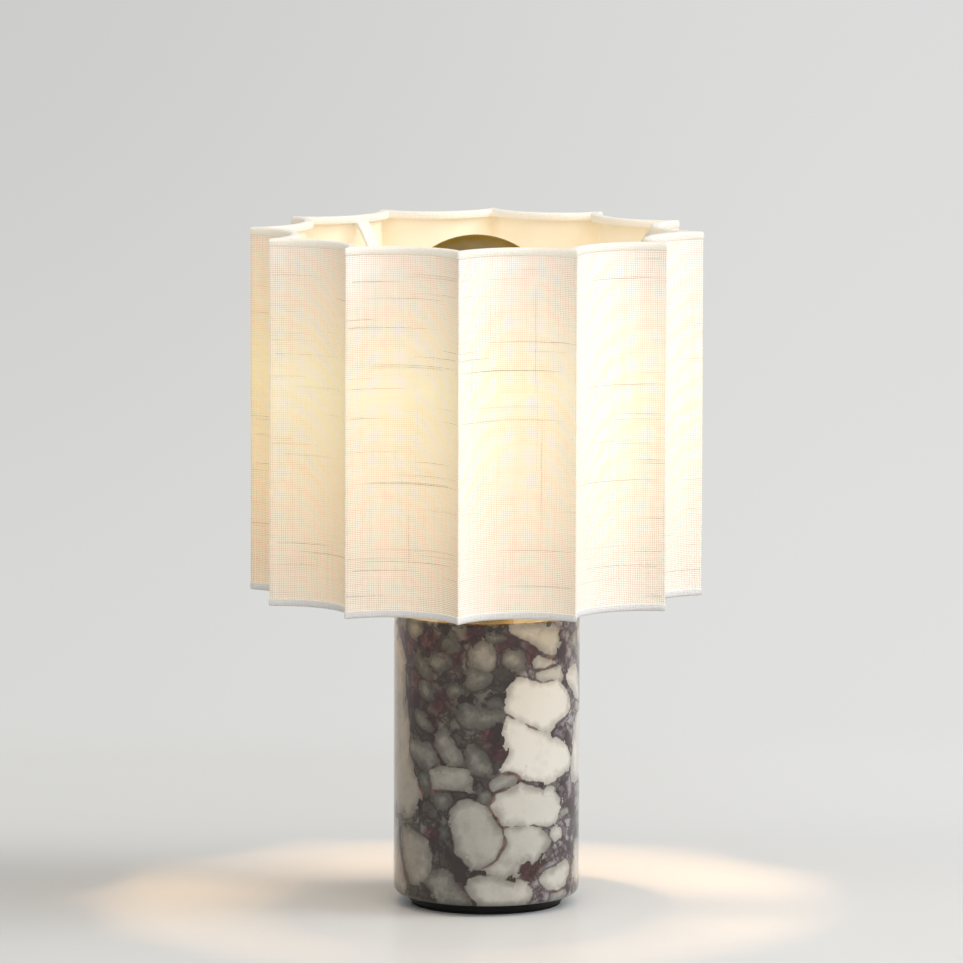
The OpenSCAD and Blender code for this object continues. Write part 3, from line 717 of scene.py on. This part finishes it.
# Stones that show at the front: paleness, and the outline as (degrees from the front, height in mm)
FRONT_STONES = [
    (1, [(14, 131), (20, 136), (31, 135), (38, 136), (45, 135), (57, 130), (63, 124), (64, 118), (58, 113),
     (50, 110), (43, 107), (35, 107), (26, 110), (18, 115), (13, 120), (14, 126)]),
    (0.74, [(35, 143), (44, 143), (51, 141), (56, 136), (53, 132), (42, 134), (35, 135), (32, 140)]),
    (1, [(13, 115), (21, 113), (30, 108), (38, 107), (43, 103), (52, 99), (62, 93), (65, 88), (62, 83), (52, 79),
     (39, 78), (26, 79), (19, 81), (11, 85), (9, 88), (13, 96), (10, 103), (9, 109)]),
    (0.76, [(15, 169), (27, 169), (38, 166), (47, 163), (51, 158), (47, 153), (43, 149), (37, 153), (29, 158),
     (19, 161), (15, 164)]),
    (0.54, [(-9, 157), (-4, 160), (1, 159), (4, 155), (6, 150), (4, 145), (-1, 143), (-6, 144), (-9, 149),
     (-10, 153)]),
    (0.5, [(10, 152), (15, 154), (21, 153), (22, 147), (21, 143), (15, 143), (10, 146)]),
    (0.75, [(29, 148), (34, 151), (42, 147), (48, 144), (41, 142), (33, 143)]),
    (1.05, [(58, 138), (66, 140), (75, 137), (82, 125), (79, 116), (71, 122), (64, 129), (59, 134)]),
    (1, [(76, 113), (89, 112), (89, 71), (68, 75), (65, 83), (68, 95), (71, 106)]),
    (0.6, [(63, 158), (69, 160), (75, 155), (69, 151)]),
    (0.68, [(-89, 165), (-75, 166), (-68, 155), (-64, 147), (-61, 142), (-62, 133), (-61, 124), (-60, 116),
     (-57, 107), (-56, 99), (-54, 89), (-52, 82), (-49, 77), (-46, 72), (-48, 67), (-52, 61), (-57, 57), (-65, 57),
     (-89, 56)]),
    (0.7, [(-89, 50), (-70, 48), (-68, 33), (-65, 22), (-61, 15), (-63, 11), (-74, 10), (-89, 12)]),
    (0.61, [(-65, 48), (-55, 47), (-45, 43), (-39, 40), (-36, 34), (-37, 27), (-39, 21), (-45, 19), (-52, 19),
     (-58, 23), (-63, 29), (-66, 39)]),
    (0.49, [(-41, 19), (-35, 24), (-26, 26), (-21, 24), (-19, 19), (-15, 14), (-10, 10), (-9, 7), (-18, 6), (-30, 7),
     (-32, 10), (-37, 14)]),
    (0.75, [(-12, 22), (-5, 24), (5, 23), (15, 22), (21, 20), (26, 16), (28, 12), (25, 9), (12, 7), (-4, 7),
     (-9, 11), (-12, 16)]),
    (0.68, [(-18, 67), (-11, 68), (-5, 66), (1, 64), (5, 59), (8, 54), (11, 50), (13, 44), (10, 39), (8, 33),
     (2, 30), (-5, 28), (-10, 28), (-15, 32), (-20, 37), (-21, 44), (-22, 50), (-24, 56), (-24, 61)]),
    (0.83, [(6, 72), (14, 75), (21, 76), (28, 74), (35, 73), (43, 73), (48, 70), (52, 65), (51, 58), (45, 54),
     (39, 52), (32, 52), (26, 51), (18, 53), (11, 54), (7, 60), (4, 65)]),
    (0.73, [(11, 52), (21, 53), (32, 51), (39, 47), (42, 42), (38, 37), (34, 31), (28, 28), (26, 33), (22, 32),
     (20, 26), (13, 23), (7, 24), (1, 27), (-4, 28), (5, 35), (12, 42)]),
    (0.45, [(-35, 71), (-30, 72), (-24, 72), (-22, 68), (-23, 64), (-28, 62), (-33, 63), (-35, 67)]),
    (0.62, [(-37, 83), (-30, 86), (-20, 86), (-13, 84), (-9, 80), (-10, 75), (-16, 74), (-26, 73), (-35, 73),
     (-37, 78)]),
    (0.52, [(-32, 104), (-27, 108), (-24, 107), (-20, 103), (-18, 98), (-15, 93), (-16, 89), (-22, 88), (-28, 90),
     (-31, 95), (-34, 98)]),
    (0.5, [(-54, 98), (-45, 100), (-37, 100), (-33, 96), (-32, 91), (-37, 87), (-44, 88), (-51, 90), (-54, 93)]),
    (0.45, [(-18, 124), (-13, 125), (-7, 124), (-1, 121), (6, 120), (10, 117), (8, 113), (2, 113), (-4, 111),
     (-10, 110), (-15, 114), (-17, 119)]),
    (0.45, [(-11, 102), (-7, 99), (-2, 96), (1, 91), (4, 87), (3, 83), (-2, 83), (-7, 85), (-10, 90), (-11, 97)]),
    (0.65, [(3, 78), (8, 81), (13, 84), (17, 83), (20, 80), (16, 77), (9, 75), (5, 74)]),
    (0.36, [(-37, 148), (-30, 152), (-24, 151), (-22, 147), (-26, 144), (-31, 144), (-37, 145)]),
    (0.4, [(-28, 161), (-24, 164), (-20, 162), (-18, 158), (-19, 155), (-25, 153), (-29, 155)]),
    (0.45, [(-13, 142), (-8, 144), (-2, 143), (2, 140), (1, 136), (-4, 133), (-9, 132), (-12, 135)]),
    (0.4, [(0, 162), (5, 164), (10, 163), (13, 160), (8, 159), (2, 159)]),
    (0.42, [(0, 125), (3, 127), (8, 126), (10, 122), (6, 121), (1, 122)]),
    (0.4, [(-45, 133), (-39, 135), (-34, 131), (-33, 126), (-39, 124), (-45, 127)]),
    (0.34, [(-51, 149), (-46, 152), (-42, 147), (-37, 143), (-37, 137), (-45, 140), (-50, 143)]),
    (0.5, [(-57, 167), (-47, 169), (-46, 164), (-49, 158), (-55, 159)]),
    (0.3, [(-23, 134), (-19, 136), (-15, 134), (-14, 130), (-19, 128), (-23, 130)]),
    (0.42, [(-49, 117), (-43, 117), (-37, 113), (-33, 109), (-36, 106), (-42, 108), (-48, 111)]),
    (0.8, [(36, 21), (41, 25), (50, 28), (59, 28), (63, 24), (61, 18), (58, 14), (48, 14), (41, 15), (37, 18)]),
    (0.9, [(43, 49), (48, 50), (54, 47), (54, 43), (47, 43), (43, 46)]),
    (0.6, [(45, 12), (54, 13), (59, 10), (52, 9), (45, 9)]),
    (0.75, [(69, 39), (81, 39), (89, 24), (78, 14), (67, 19), (69, 29)]),
    (0.6, [(52, 58), (60, 59), (62, 55), (54, 54)]),
    (0.28, [(-30, 50), (-26, 51), (-24, 47), (-27, 43), (-30, 45)]),
    (0.28, [(-45, 82), (-39, 82), (-38, 76), (-41, 72), (-45, 74)]),
    (0.42, [(-3, 74), (2, 74), (5, 70), (3, 67), (-2, 67), (-4, 70)]),
]

# Wine-coloured places in the ground: degrees from the front, height and radius in mm
WINE_PLACES = [
    (13, 156, 8), (29, 151, 8), (3, 106, 8), (6, 97, 7), (53, 152, 8), (26, 25, 8), (35, 31, 6), (-36, 46, 7),
    (-41, 158, 12), (-30, 125, 9), (-53, 122, 10), (67, 60, 9), (-14, 12, 7), (60, 100, 6), (-44, 138, 12),
    (-62, 152, 14), (-22, 152, 10), (-8, 165, 9), (-38, 112, 10),
]


def cut_corners(line):
    """The outline with its corners cut, and made a little larger again."""
    after = np.roll(line, -1, axis=0)
    cut = np.stack([line * 0.85 + after * 0.15, line * 0.15 + after * 0.85], axis=1).reshape(-1, 2)
    return cut + (cut - cut.mean(axis=0)) * 0.02


def short_way(turn, around):
    """A distance round the side, taken the short way."""
    return (turn + around / 2) % around - around / 2


def all_stones():
    """Every stone as (paleness, outline in mm along and up the unrolled side), round the back too."""
    draw = np.random.default_rng(11)
    reach = math.radians(1) * MARBLE_R / MM
    stones = [(pale, np.array([(a * reach, z) for a, z in line], float)) for pale, line in FRONT_STONES]
    taken = [(*line.mean(axis=0), *(np.ptp(line, axis=0) / 2)) for _, line in stones]
    around = 360 * reach
    closest = 0.80
    for size in (1.0, 0.72, 0.5, 0.34, 0.22):
        tries = int(150 / size ** 1.6)
        for _ in range(tries):
            a, z = draw.uniform(75, 285) * reach, draw.uniform(-2, 200)
            w, h = draw.uniform(12, 23) * size, draw.uniform(9, 17) * size
            clear = all((short_way(a - b, around) / (w + v)) ** 2 + ((z - y) / (h + k)) ** 2 > closest
                        for b, y, v, k in taken)
            if clear:
                taken.append((a, z, w, h))
                count = int(draw.integers(7, 12))
                turns = (np.arange(count) + draw.uniform(-0.3, 0.3, count)) * 2 * math.pi / count
                lean = draw.uniform(-0.6, 0.6)
                x = w * np.cos(turns) * draw.uniform(0.82, 1.12, count)
                y = h * np.sin(turns) * draw.uniform(0.82, 1.12, count)
                line = np.stack([a + x * math.cos(lean) - y * math.sin(lean),
                                 z + x * math.sin(lean) + y * math.cos(lean)], axis=1)
                stones.append((min(1.0, draw.uniform(0.45, 1.1) * (0.5 + 0.5 * size ** 0.5)), line))
    return [(pale, cut_corners(line)) for pale, line in stones]


def depth_inside(places, line, around):
    """Distance inside a closed outline on the unrolled side; less than 0 outside it."""
    middle = line[:, 0].mean()
    x, y = middle + short_way(places[:, 0] - middle, around), places[:, 1]
    least = np.full(len(places), 1e9)
    inside = np.zeros(len(places), bool)
    for (x0, y0), (x1, y1) in zip(line, np.roll(line, -1, axis=0)):
        dx, dy = x1 - x0, y1 - y0
        share = np.clip(((x - x0) * dx + (y - y0) * dy) / (dx * dx + dy * dy), 0, 1)
        least = np.minimum(least, np.hypot(x - x0 - share * dx, y - y0 - share * dy))
        if dy:
            inside ^= ((y0 > y) != (y1 > y)) & (x < x0 + (y - y0) * dx / dy)
    return np.where(inside, least, -least)


def stone_fields(points):
    """For points in mm about the marble's axis: depth inside a stone, how much deeper that is than in the next
    stone, its paleness, and how wine-coloured the ground is."""
    draw = np.random.default_rng(5)
    r = np.hypot(points[:, 0], points[:, 1])
    side = MARBLE_R / MM
    around = 2 * math.pi * side
    height = points[:, 2] + MARBLE_LOW / MM
    places = np.stack([np.arctan2(points[:, 0], -points[:, 1]) * side, height + (side - r)], axis=1)
    for size, slope in ((0.8, 0.22), (0.15, 0.5)):
        waves = draw.normal(0, slope, (2, 3))
        starts = draw.uniform(0, 6, 2)
        places += size * np.stack([np.sin(points @ w + p) for w, p in zip(waves, starts)], axis=1)
    best = np.full(len(points), -1e9)
    second = best.copy()
    pale = np.zeros(len(points))
    for tone, line in all_stones():
        depth = depth_inside(places, line, around)
        nearer = depth > best
        second = np.where(nearer, best, np.maximum(second, depth))
        pale = np.where(nearer, tone, pale)
        best = np.where(nearer, depth, best)
    wine = np.zeros(len(points))
    at_back = 34
    spots = WINE_PLACES + [(draw.uniform(80, 280), draw.uniform(0, 190), draw.uniform(6, 13)) for _ in range(at_back)]
    for a, z, reach in spots:
        turn = short_way(places[:, 0] - math.radians(a) * side, around)
        wine = np.maximum(wine, 1.25 - np.hypot(turn, places[:, 1] - z) / reach)
    return np.clip(best, -5, 12), np.clip(best - second, 0, 8), pale, np.clip(wine, 0, 1)


def marble_piece():
    """The turned marble with its core, its recess, the cable hole and the sockets for the screws."""
    low, top, r = MARBLE_LOW, MARBLE_TOP, MARBLE_R
    foot = arc((r - MARBLE_FOOT, low + MARBLE_FOOT), MARBLE_FOOT, -math.pi / 2, 0.0, 8)
    sides, rows = 384, 180
    side_low, side_top = low + MARBLE_FOOT, top - MARBLE_EDGE - 0.15 * MM
    side = [(r, side_low + (side_top - side_low) * i / rows) for i in range(1, rows + 1)]
    edge = [(r - 0.05 * MM, top - MARBLE_EDGE), (r - MARBLE_EDGE / 2 - 0.02 * MM, top - MARBLE_EDGE / 2),
            (r - MARBLE_EDGE, top - 0.05 * MM), (r - MARBLE_EDGE - 0.15 * MM, top)]
    disc_r, rings = r - 1 * MM, 26
    disc = [(disc_r - (disc_r - CORE_R) * i / rings, top) for i in range(1, rings + 1)]
    core = [(CORE_R, low + RECESS_H), (RECESS_R, low + RECESS_H), (RECESS_R, low)]
    mesh = new_mesh("marble_blank", *spin(foot + side + edge + disc + core, sides, BASE_X))
    blank = put("marble_blank", faced_out(mesh))
    cutters = []

    def cutter(radius, start, end, steps=48):
        line = Vector(end) - Vector(start)
        work = bmesh.new()
        bmesh.ops.create_cone(work, cap_ends=True, segments=steps, radius1=radius, radius2=radius, depth=line.length)
        turn = line.to_track_quat("Z", "Y").to_matrix().to_4x4()
        middle = Matrix.Translation((Vector(start) + Vector(end)) / 2)
        bmesh.ops.transform(work, matrix=middle @ turn, verts=work.verts)
        tool = bpy.data.meshes.new("cutter")
        work.to_mesh(tool)
        work.free()
        cutters.append(put("cutter", tool))

    outlet = (BASE_X, OUTSIDE_Y, CABLE_Z)
    cutter(CABLE_HOLE_R, (BASE_X, CABLE_HOLE_FROM, CABLE_Z), outlet)
    cutter(CABLE_SPOT_R, (BASE_X, CABLE_SPOT_Y, CABLE_Z), outlet)
    for k in range(PLUGS):
        a = math.radians(30 + 360 / PLUGS * k)
        x, y = BASE_X + PLUG_RING_R * math.cos(a), PLUG_RING_R * math.sin(a)
        cutter(PLUG_R, (x, y, low - 2 * MM), (x, y, low + PLUG_H), 32)
    for tool in cutters:
        cut = blank.modifiers.new("cut", "BOOLEAN")
        cut.operation, cut.object, cut.solver = "DIFFERENCE", tool, "EXACT"
    graph = bpy.context.evaluated_depsgraph_get()
    cut_mesh = bpy.data.meshes.new_from_object(blank.evaluated_get(graph), depsgraph=graph)
    for spare in [blank, *cutters]:
        bpy.data.objects.remove(spare)
    cut_mesh.name = "marble"
    places = np.array([v.co for v in cut_mesh.vertices]) - (BASE_X, 0.0, MARBLE_LOW)
    for label, values in zip(STONE_FIELDS, stone_fields(places / MM)):
        field = cut_mesh.attributes.new(label, "FLOAT", "POINT")
        field.data.foreach_set("value", values.astype(np.float32))
    return dress("marble", cut_mesh, "base", "marble", ["marble_body"], sharp=35)


# Metal and glass

def arm_line():
    """An arm's middle line in the plane of the axis: distance from the axis, and height."""
    shade_wall, wire_r, arm_lap, globe_gap = 1.1 * MM, 1.5 * MM, 4.8 * MM, 5.8 * MM
    ring_t, knee_rise, foot_out, foot_flat = 2 * MM, 39 * MM, 0.9 * MM, 3.3 * MM
    out = BOW_X - BOW_R - shade_wall - 0.5 * MM
    top = Vector((out - arm_lap, SHADE_TOP - 0.5 * MM - 2 * wire_r - ARM_T / 2))
    far = math.hypot(top.x, top.y - GLOBE_Z)
    slope = math.atan2(top.y - GLOBE_Z, top.x) + math.asin((CROWN_R + ARM_T / 2 + globe_gap) / far)
    knee_z = SEAT_Z + ring_t + knee_rise
    knee = Vector((top.x - (top.y - knee_z) / math.tan(slope), knee_z))
    foot_z = SEAT_Z + ring_t + ARM_T / 2
    foot_in = RING_R + foot_out
    points = [(foot_in, foot_z), (foot_in + foot_flat, foot_z), knee, top, (out, top.y)]
    return rounded_line(points, [0, 2 * MM, 6 * MM, 3 * MM, 0], 6, closed=False)


def strip_section(width, thickness, radius):
    """A flat bar's section with rounded edges."""
    w, t = width / 2, thickness / 2
    return rounded_line([(w, t), (-w, t), (-w, -t), (w, -t)], [radius] * 4, 3)


def spider_piece():
    """The three arms: flat strips with rounded edges, bent up from the ring to the top wire."""
    line = arm_line()
    section = strip_section(ARM_W, ARM_T, 0.7 * MM)
    points, faces = [], []
    for k in range(ARMS):
        turn = SHADE_TURN - PANEL_ANGLE / 2 + 2 * math.pi * k / ARMS
        start = len(points)
        rows = []
        for i, at in enumerate(line):
            heading = (line[min(i + 1, len(line) - 1)] - line[max(i - 1, 0)]).normalized()
            end = {0: -1, len(line) - 1: 1}.get(i, 0)
            cap = (at, heading, 0.18 * MM)
            back = (at - heading * (end * 0.25 * MM), heading, 0.0)
            rows += {-1: [cap, back], 0: [(at, heading, 0.0)], 1: [back, cap]}[end]
        for at, heading, shrink in rows:
            up = Vector((-heading.y, heading.x))
            for w, t in section:
                w = w - math.copysign(shrink, w)
                t = t - math.copysign(min(shrink, abs(t)), t)
                r, z = at.x + up.x * t, at.y + up.y * t
                points.append((*turned(r, -w, turn), z))
        count = len(section)
        for i in range(len(rows) - 1):
            for j in range(count):
                a, b = start + i * count + j, start + i * count + (j + 1) % count
                faces.append((a, b, b + count, a + count))
        faces.append(tuple(start + j for j in range(count)))
        last = start + (len(rows) - 1) * count
        faces.append(tuple(last + j for j in reversed(range(count))))
    mesh = faced_out(new_mesh("spider_strips", points, faces))
    return dress("spider_strips", mesh, "shade", "white_steel", ["spider_arms"], sharp=50)


def cup_section():
    """The brass cup's wall and floor, with a rolled rim and a softened foot."""
    inner = CUP_R - CUP_WALL
    points = [(PIPE_HOLE_R, CUP_LOW), (CUP_R, CUP_LOW), (CUP_R, CUP_TOP), (inner, CUP_TOP),
              (inner, CUP_LOW + CUP_FLOOR), (PIPE_HOLE_R, CUP_LOW + CUP_FLOOR)]
    return rounded_line(points, [0, 0.7 * MM, 0.5 * MM, 0.4 * MM, 0, 0], 5)


def to_pole(radius, first, steps):
    """Round the globe from an angle up to its pole on the axis."""
    return arc((0.0, GLOBE_Z), radius, first, math.pi / 2, steps)[:-1] + [(0.0, GLOBE_Z + radius)]


def globe_line(radius, offset):
    """From the throat up the neck and round the globe to its pole."""
    blend_x = NECK_R + NECK_BLEND
    blend_z = GLOBE_Z - math.sqrt((GLASS_R + NECK_BLEND) ** 2 - blend_x ** 2)
    join = math.atan2(GLOBE_Z - blend_z, -blend_x)
    line = [(THROAT_R - offset, THROAT_Z), (THROAT_R - offset, THROAT_Z + 3 * MM),
            (THROAT_R - offset + 0.6 * MM, THROAT_Z + 4.6 * MM), (NECK_R - offset - 0.9 * MM, blend_z - 1.6 * MM)]
    line += arc((blend_x, blend_z), NECK_BLEND + offset, math.pi, join, 12)
    return line + to_pole(radius, math.atan2(blend_z - GLOBE_Z, blend_x), 48)[1:]


def glass_section():
    wall = 0.9 * MM
    return globe_line(GLASS_R, 0.0) + globe_line(GLASS_R - wall, wall)[::-1]


def crown_section():
    """A thin cap over the upper part of the globe."""
    outer, inner = [to_pole(radius, math.asin(CROWN_FROM / radius), 44) for radius in (CROWN_R, GLASS_R + 0.03 * MM)]
    return outer + inner[::-1]


# The finish of each material slot, and the pieces

FINISHES = {
    "linen": linen_finish(),
    "hem_tape": hem_finish(),
    "liner": liner_finish(),
    "marble": marble_finish(),
    "brass": metal_finish("polished_brass", (0.96, 0.70, 0.30), (0.86, 0.56, 0.20), rough=0.20, scale=70.0),
    "zinc_steel": metal_finish("zinc_plate", (0.60, 0.60, 0.59), (0.45, 0.45, 0.44), rough=0.38),
    "nickel": metal_finish("nickel_plate", (0.68, 0.65, 0.58), (0.52, 0.50, 0.44), rough=0.27),
    "white_steel": moulded_finish("white_powder_coat", (0.76, 0.74, 0.70), (0.82, 0.80, 0.77),
                                  rough=0.42, scale=1600.0, relief=0.06),
    "black_steel": moulded_finish("black_satin_paint", (0.004, 0.004, 0.004), (0.007, 0.007, 0.007),
                                  rough=0.45, scale=1400.0, relief=0.03, specular=0.2),
    "pad": moulded_finish("black_rubber", (0.008, 0.008, 0.008), (0.014, 0.014, 0.013),
                          rough=0.8, scale=900.0, relief=0.08, specular=0.15),
    "phenolic": moulded_finish("black_moulding", (0.017, 0.015, 0.013), (0.030, 0.027, 0.024),
                               rough=0.35, scale=600.0, relief=0.04),
    "ceramic": moulded_finish("glazed_ceramic", (0.78, 0.76, 0.70), (0.84, 0.82, 0.77),
                              rough=0.2, scale=300.0, relief=0.03),
    "nylon": moulded_finish("natural_nylon", (0.58, 0.55, 0.48), (0.66, 0.63, 0.56),
                            rough=0.45, scale=500.0, relief=0.04),
    "black_glass": moulded_finish("black_bead_glass", (0.012, 0.012, 0.013), (0.022, 0.022, 0.024),
                                  rough=0.12, scale=400.0, relief=0.02),
    "clear_glass": glass_finish(),
    "gold_mirror": crown_finish(),
    "phosphor": phosphor_finish(),
}

cover = round_shade("linen_cover", sheet_section(LINEN_OUT, LINEN_IN, rows=22), "linen", ["shade_fabric"],
                    ripple=0.05 * MM)
round_shade("shade_backing", sheet_section(LINER_OUT, LINER_IN, rows=6), "liner", ["shade_liner"])
top_tape = round_shade("top_hem_tape", hem_section(SHADE_TOP, -1), "hem_tape", ["top_hem"], sharp=60)
bottom_tape = round_shade("bottom_hem_tape", hem_section(SHADE_BOTTOM - HEM_DROP, 1), "hem_tape", ["bottom_hem"],
                          sharp=60)

yarn = slub_finish()
yarns, ports = slub_tree(yarn)
level_yarns = grown_piece("weft_slubs", yarns, ports, yarn, {
    "Count": 190, "Shortest": 22 * MM, "Longest": 80 * MM, "Thickness": 0.10 * MM, "Upright": 0.0, "Seed": 3,
})
upright_yarns = grown_piece("warp_slubs", yarns, ports, yarn, {
    "Count": 16, "Shortest": 18 * MM, "Longest": 90 * MM, "Thickness": 0.09 * MM, "Upright": 1.0, "Seed": 8,
})

marble_piece()
spider_piece()
spun_piece("brass_cup", cup_section(), "base", "brass", ["socket_cup"], sides=160, sharp=35)
spun_piece("globe_glass", glass_section(), "bulb", "clear_glass", ["bulb_glass"], sides=128, sharp=0)
spun_piece("globe_crown", crown_section(), "bulb", "gold_mirror", ["bulb_crown"], sides=160, sharp=50)

for row in frame["record"]["subparts"]:
    node = frame["nodes"][row["node"]]
    if not node.hide_render:
        for place in node.material_slots:
            place.material = FINISHES[row["material_slot"]]


# Floor, backdrop, light and camera

def pale_ground():
    """A pale matt ground whose upright part shows the camera a set tone instead of the light on it; that tone and the
    floor's own colour are painted shade, darker to the left, and the wall's tone is painted darker towards the top.
    """
    f = Finish("pale_ground")
    x, y, z = f.parts(f.place)
    # Painted shade: the floor and the wall darker to the left, and the wall darker towards the top
    side = f.rise(x, -0.40, 0.32)
    height = f.rise(z, 0.0, 0.55)
    low = f.mix(side, (0.66, 0.668, 0.675), (0.71, 0.722, 0.732))
    wall = f.mix(side, f.mix(height, (0.690, 0.690, 0.672), (0.600, 0.600, 0.588)),
                 f.mix(height, (0.755, 0.755, 0.742), (0.715, 0.715, 0.712)))
    path = f.add("ShaderNodeLightPath")
    straight = f.maths("MAXIMUM", path, f.other(path, "Is Glossy Ray"))
    bounced = f.other(path, "Is Diffuse Ray")
    matt = f.add("ShaderNodeBsdfDiffuse", {"Color": low * (1.0 - bounced * 0.5)})
    shine = f.add("ShaderNodeBsdfGlossy", {"Color": (0.9, 0.9, 0.9), "Roughness": 0.24})
    matt = f.add("ShaderNodeMixShader", {0: (1.0 - bounced) * 0.13, 1: matt, 2: shine})
    even = f.add("ShaderNodeEmission", {"Color": wall, "Strength": 1.0})
    # The floor behind the lamp also shows part of the set wall tone in place of its own light and shadow
    upright = f.maths("MAXIMUM", f.rise(z, 0.0, 0.05), f.rise(y, 0.06, 0.26) * 0.6)
    ground = f.add("ShaderNodeMixShader", {0: straight * upright, 1: matt, 2: even})
    behind = f.add("ShaderNodeNewGeometry", out=6)
    gone = f.add("ShaderNodeBsdfTransparent")
    return f.show(f.add("ShaderNodeMixShader", {0: behind, 1: ground, 2: gone}))


def ground_sheet(name, line, half_width, finish):
    """A sheet that is level or upright along a line of (depth, height)."""
    points = [(x, y, z) for x in (-half_width, half_width) for y, z in line]
    count = len(line)
    faces = [(i, i + count, i + count + 1, i + 1) for i in range(count - 1)]
    mesh = new_mesh(name, points, faces)
    mesh.materials.append(finish)
    mesh.shade_smooth()
    put(name, mesh)


WALL_Y = 0.42
COVE_R = 0.19
cove = arc((WALL_Y - COVE_R, COVE_R), COVE_R, -math.pi / 2, 0.0, 24)
ground_sheet("floor_and_backdrop", [(-4.0, 0.0), (-0.5, 0.0), *cove, (WALL_Y, 4.0)], 4.0, pale_ground())


def lamp(name, kind, place, aim, power, colour, **settings):
    """A lamp of some watts at a place, turned to what it lights."""
    light = bpy.data.lights.new(name, kind)
    light.energy, light.color = power, colour
    for setting, value in settings.items():
        setattr(light, setting, value)
    made = put(name, light)
    made.location = place
    made.rotation_euler = (Vector(aim) - Vector(place)).to_track_quat("-Z", "Y").to_euler()


DAYLIGHT = (0.98, 1.02, 1.08)
SHADE_MIDDLE = (0, 0, 0.2)
BULB_WARMTH = (1.0, 0.640, 0.340)
lamp("key_light", "AREA", (3.43, -0.48, 2.2), SHADE_MIDDLE, 42, DAYLIGHT, shape="DISK", size=1.5)
lamp("high_light", "AREA", (2.6, -0.48, 3.2), SHADE_MIDDLE, 16, DAYLIGHT, shape="DISK", size=2.0)
lamp("under_shade", "AREA", (0, 0, 0.166), (0, 0, 0), 0.055, (1.0, 0.62, 0.22), shape="DISK", size=0.23)
lamp("bulb_light", "SPOT", (0.0015, 0.0095, 0.333), (-0.004, 0.006, 0), 5.0, BULB_WARMTH,
     spot_size=math.radians(72.0), spot_blend=0.42, shadow_soft_size=0.011)
lamp("inner_light", "POINT", (0, 0, 0.318), (0, 0, 0), 0.12, (1.0, 0.84, 0.62), shadow_soft_size=0.02)

world = bpy.data.worlds.new("studio")
bpy.context.scene.world = world
world.use_nodes = True
sky = Tree(world.node_tree)
sky.tree.nodes.clear()
ray = sky.add("ShaderNodeLightPath")
seen = sky.maths("MAXIMUM", ray, sky.other(ray, "Is Glossy Ray"))
seen = sky.maths("MAXIMUM", seen, sky.other(ray, "Is Transmission Ray"))
east, north, _ = sky.parts(sky.add("ShaderNodeTexCoord"))
strength = (1.0 - sky.maths("MAXIMUM", -east, 0.0) * 0.95) * 1.48
soft = sky.add("ShaderNodeBackground", {"Color": (1.0, 0.97, 0.92), "Strength": strength})
mirrored = 0.70 - (1.0 - ray) * (0.5 - north * 0.5) * 0.45
shown = sky.add("ShaderNodeBackground", {"Color": (1.0, 1.0, 0.99), "Strength": mirrored})
sky.add("ShaderNodeOutputWorld", {0: sky.add("ShaderNodeMixShader", {0: seen, 1: soft, 2: shown})})

camera = bpy.data.cameras.new("camera")
camera.lens, camera.sensor_width = 306.86, 36.0
camera.clip_end = 50.0
eye = put("camera", camera)
eye.matrix_world = (Matrix.Translation((0.003263, -4.66899, 0.85729))
                    @ Matrix.Rotation(math.radians(82.521), 4, "X") @ Matrix.Rotation(math.radians(0.155), 4, "Z"))
bpy.context.scene.camera = eye
bpy.context.scene.view_settings.view_transform = "Standard"
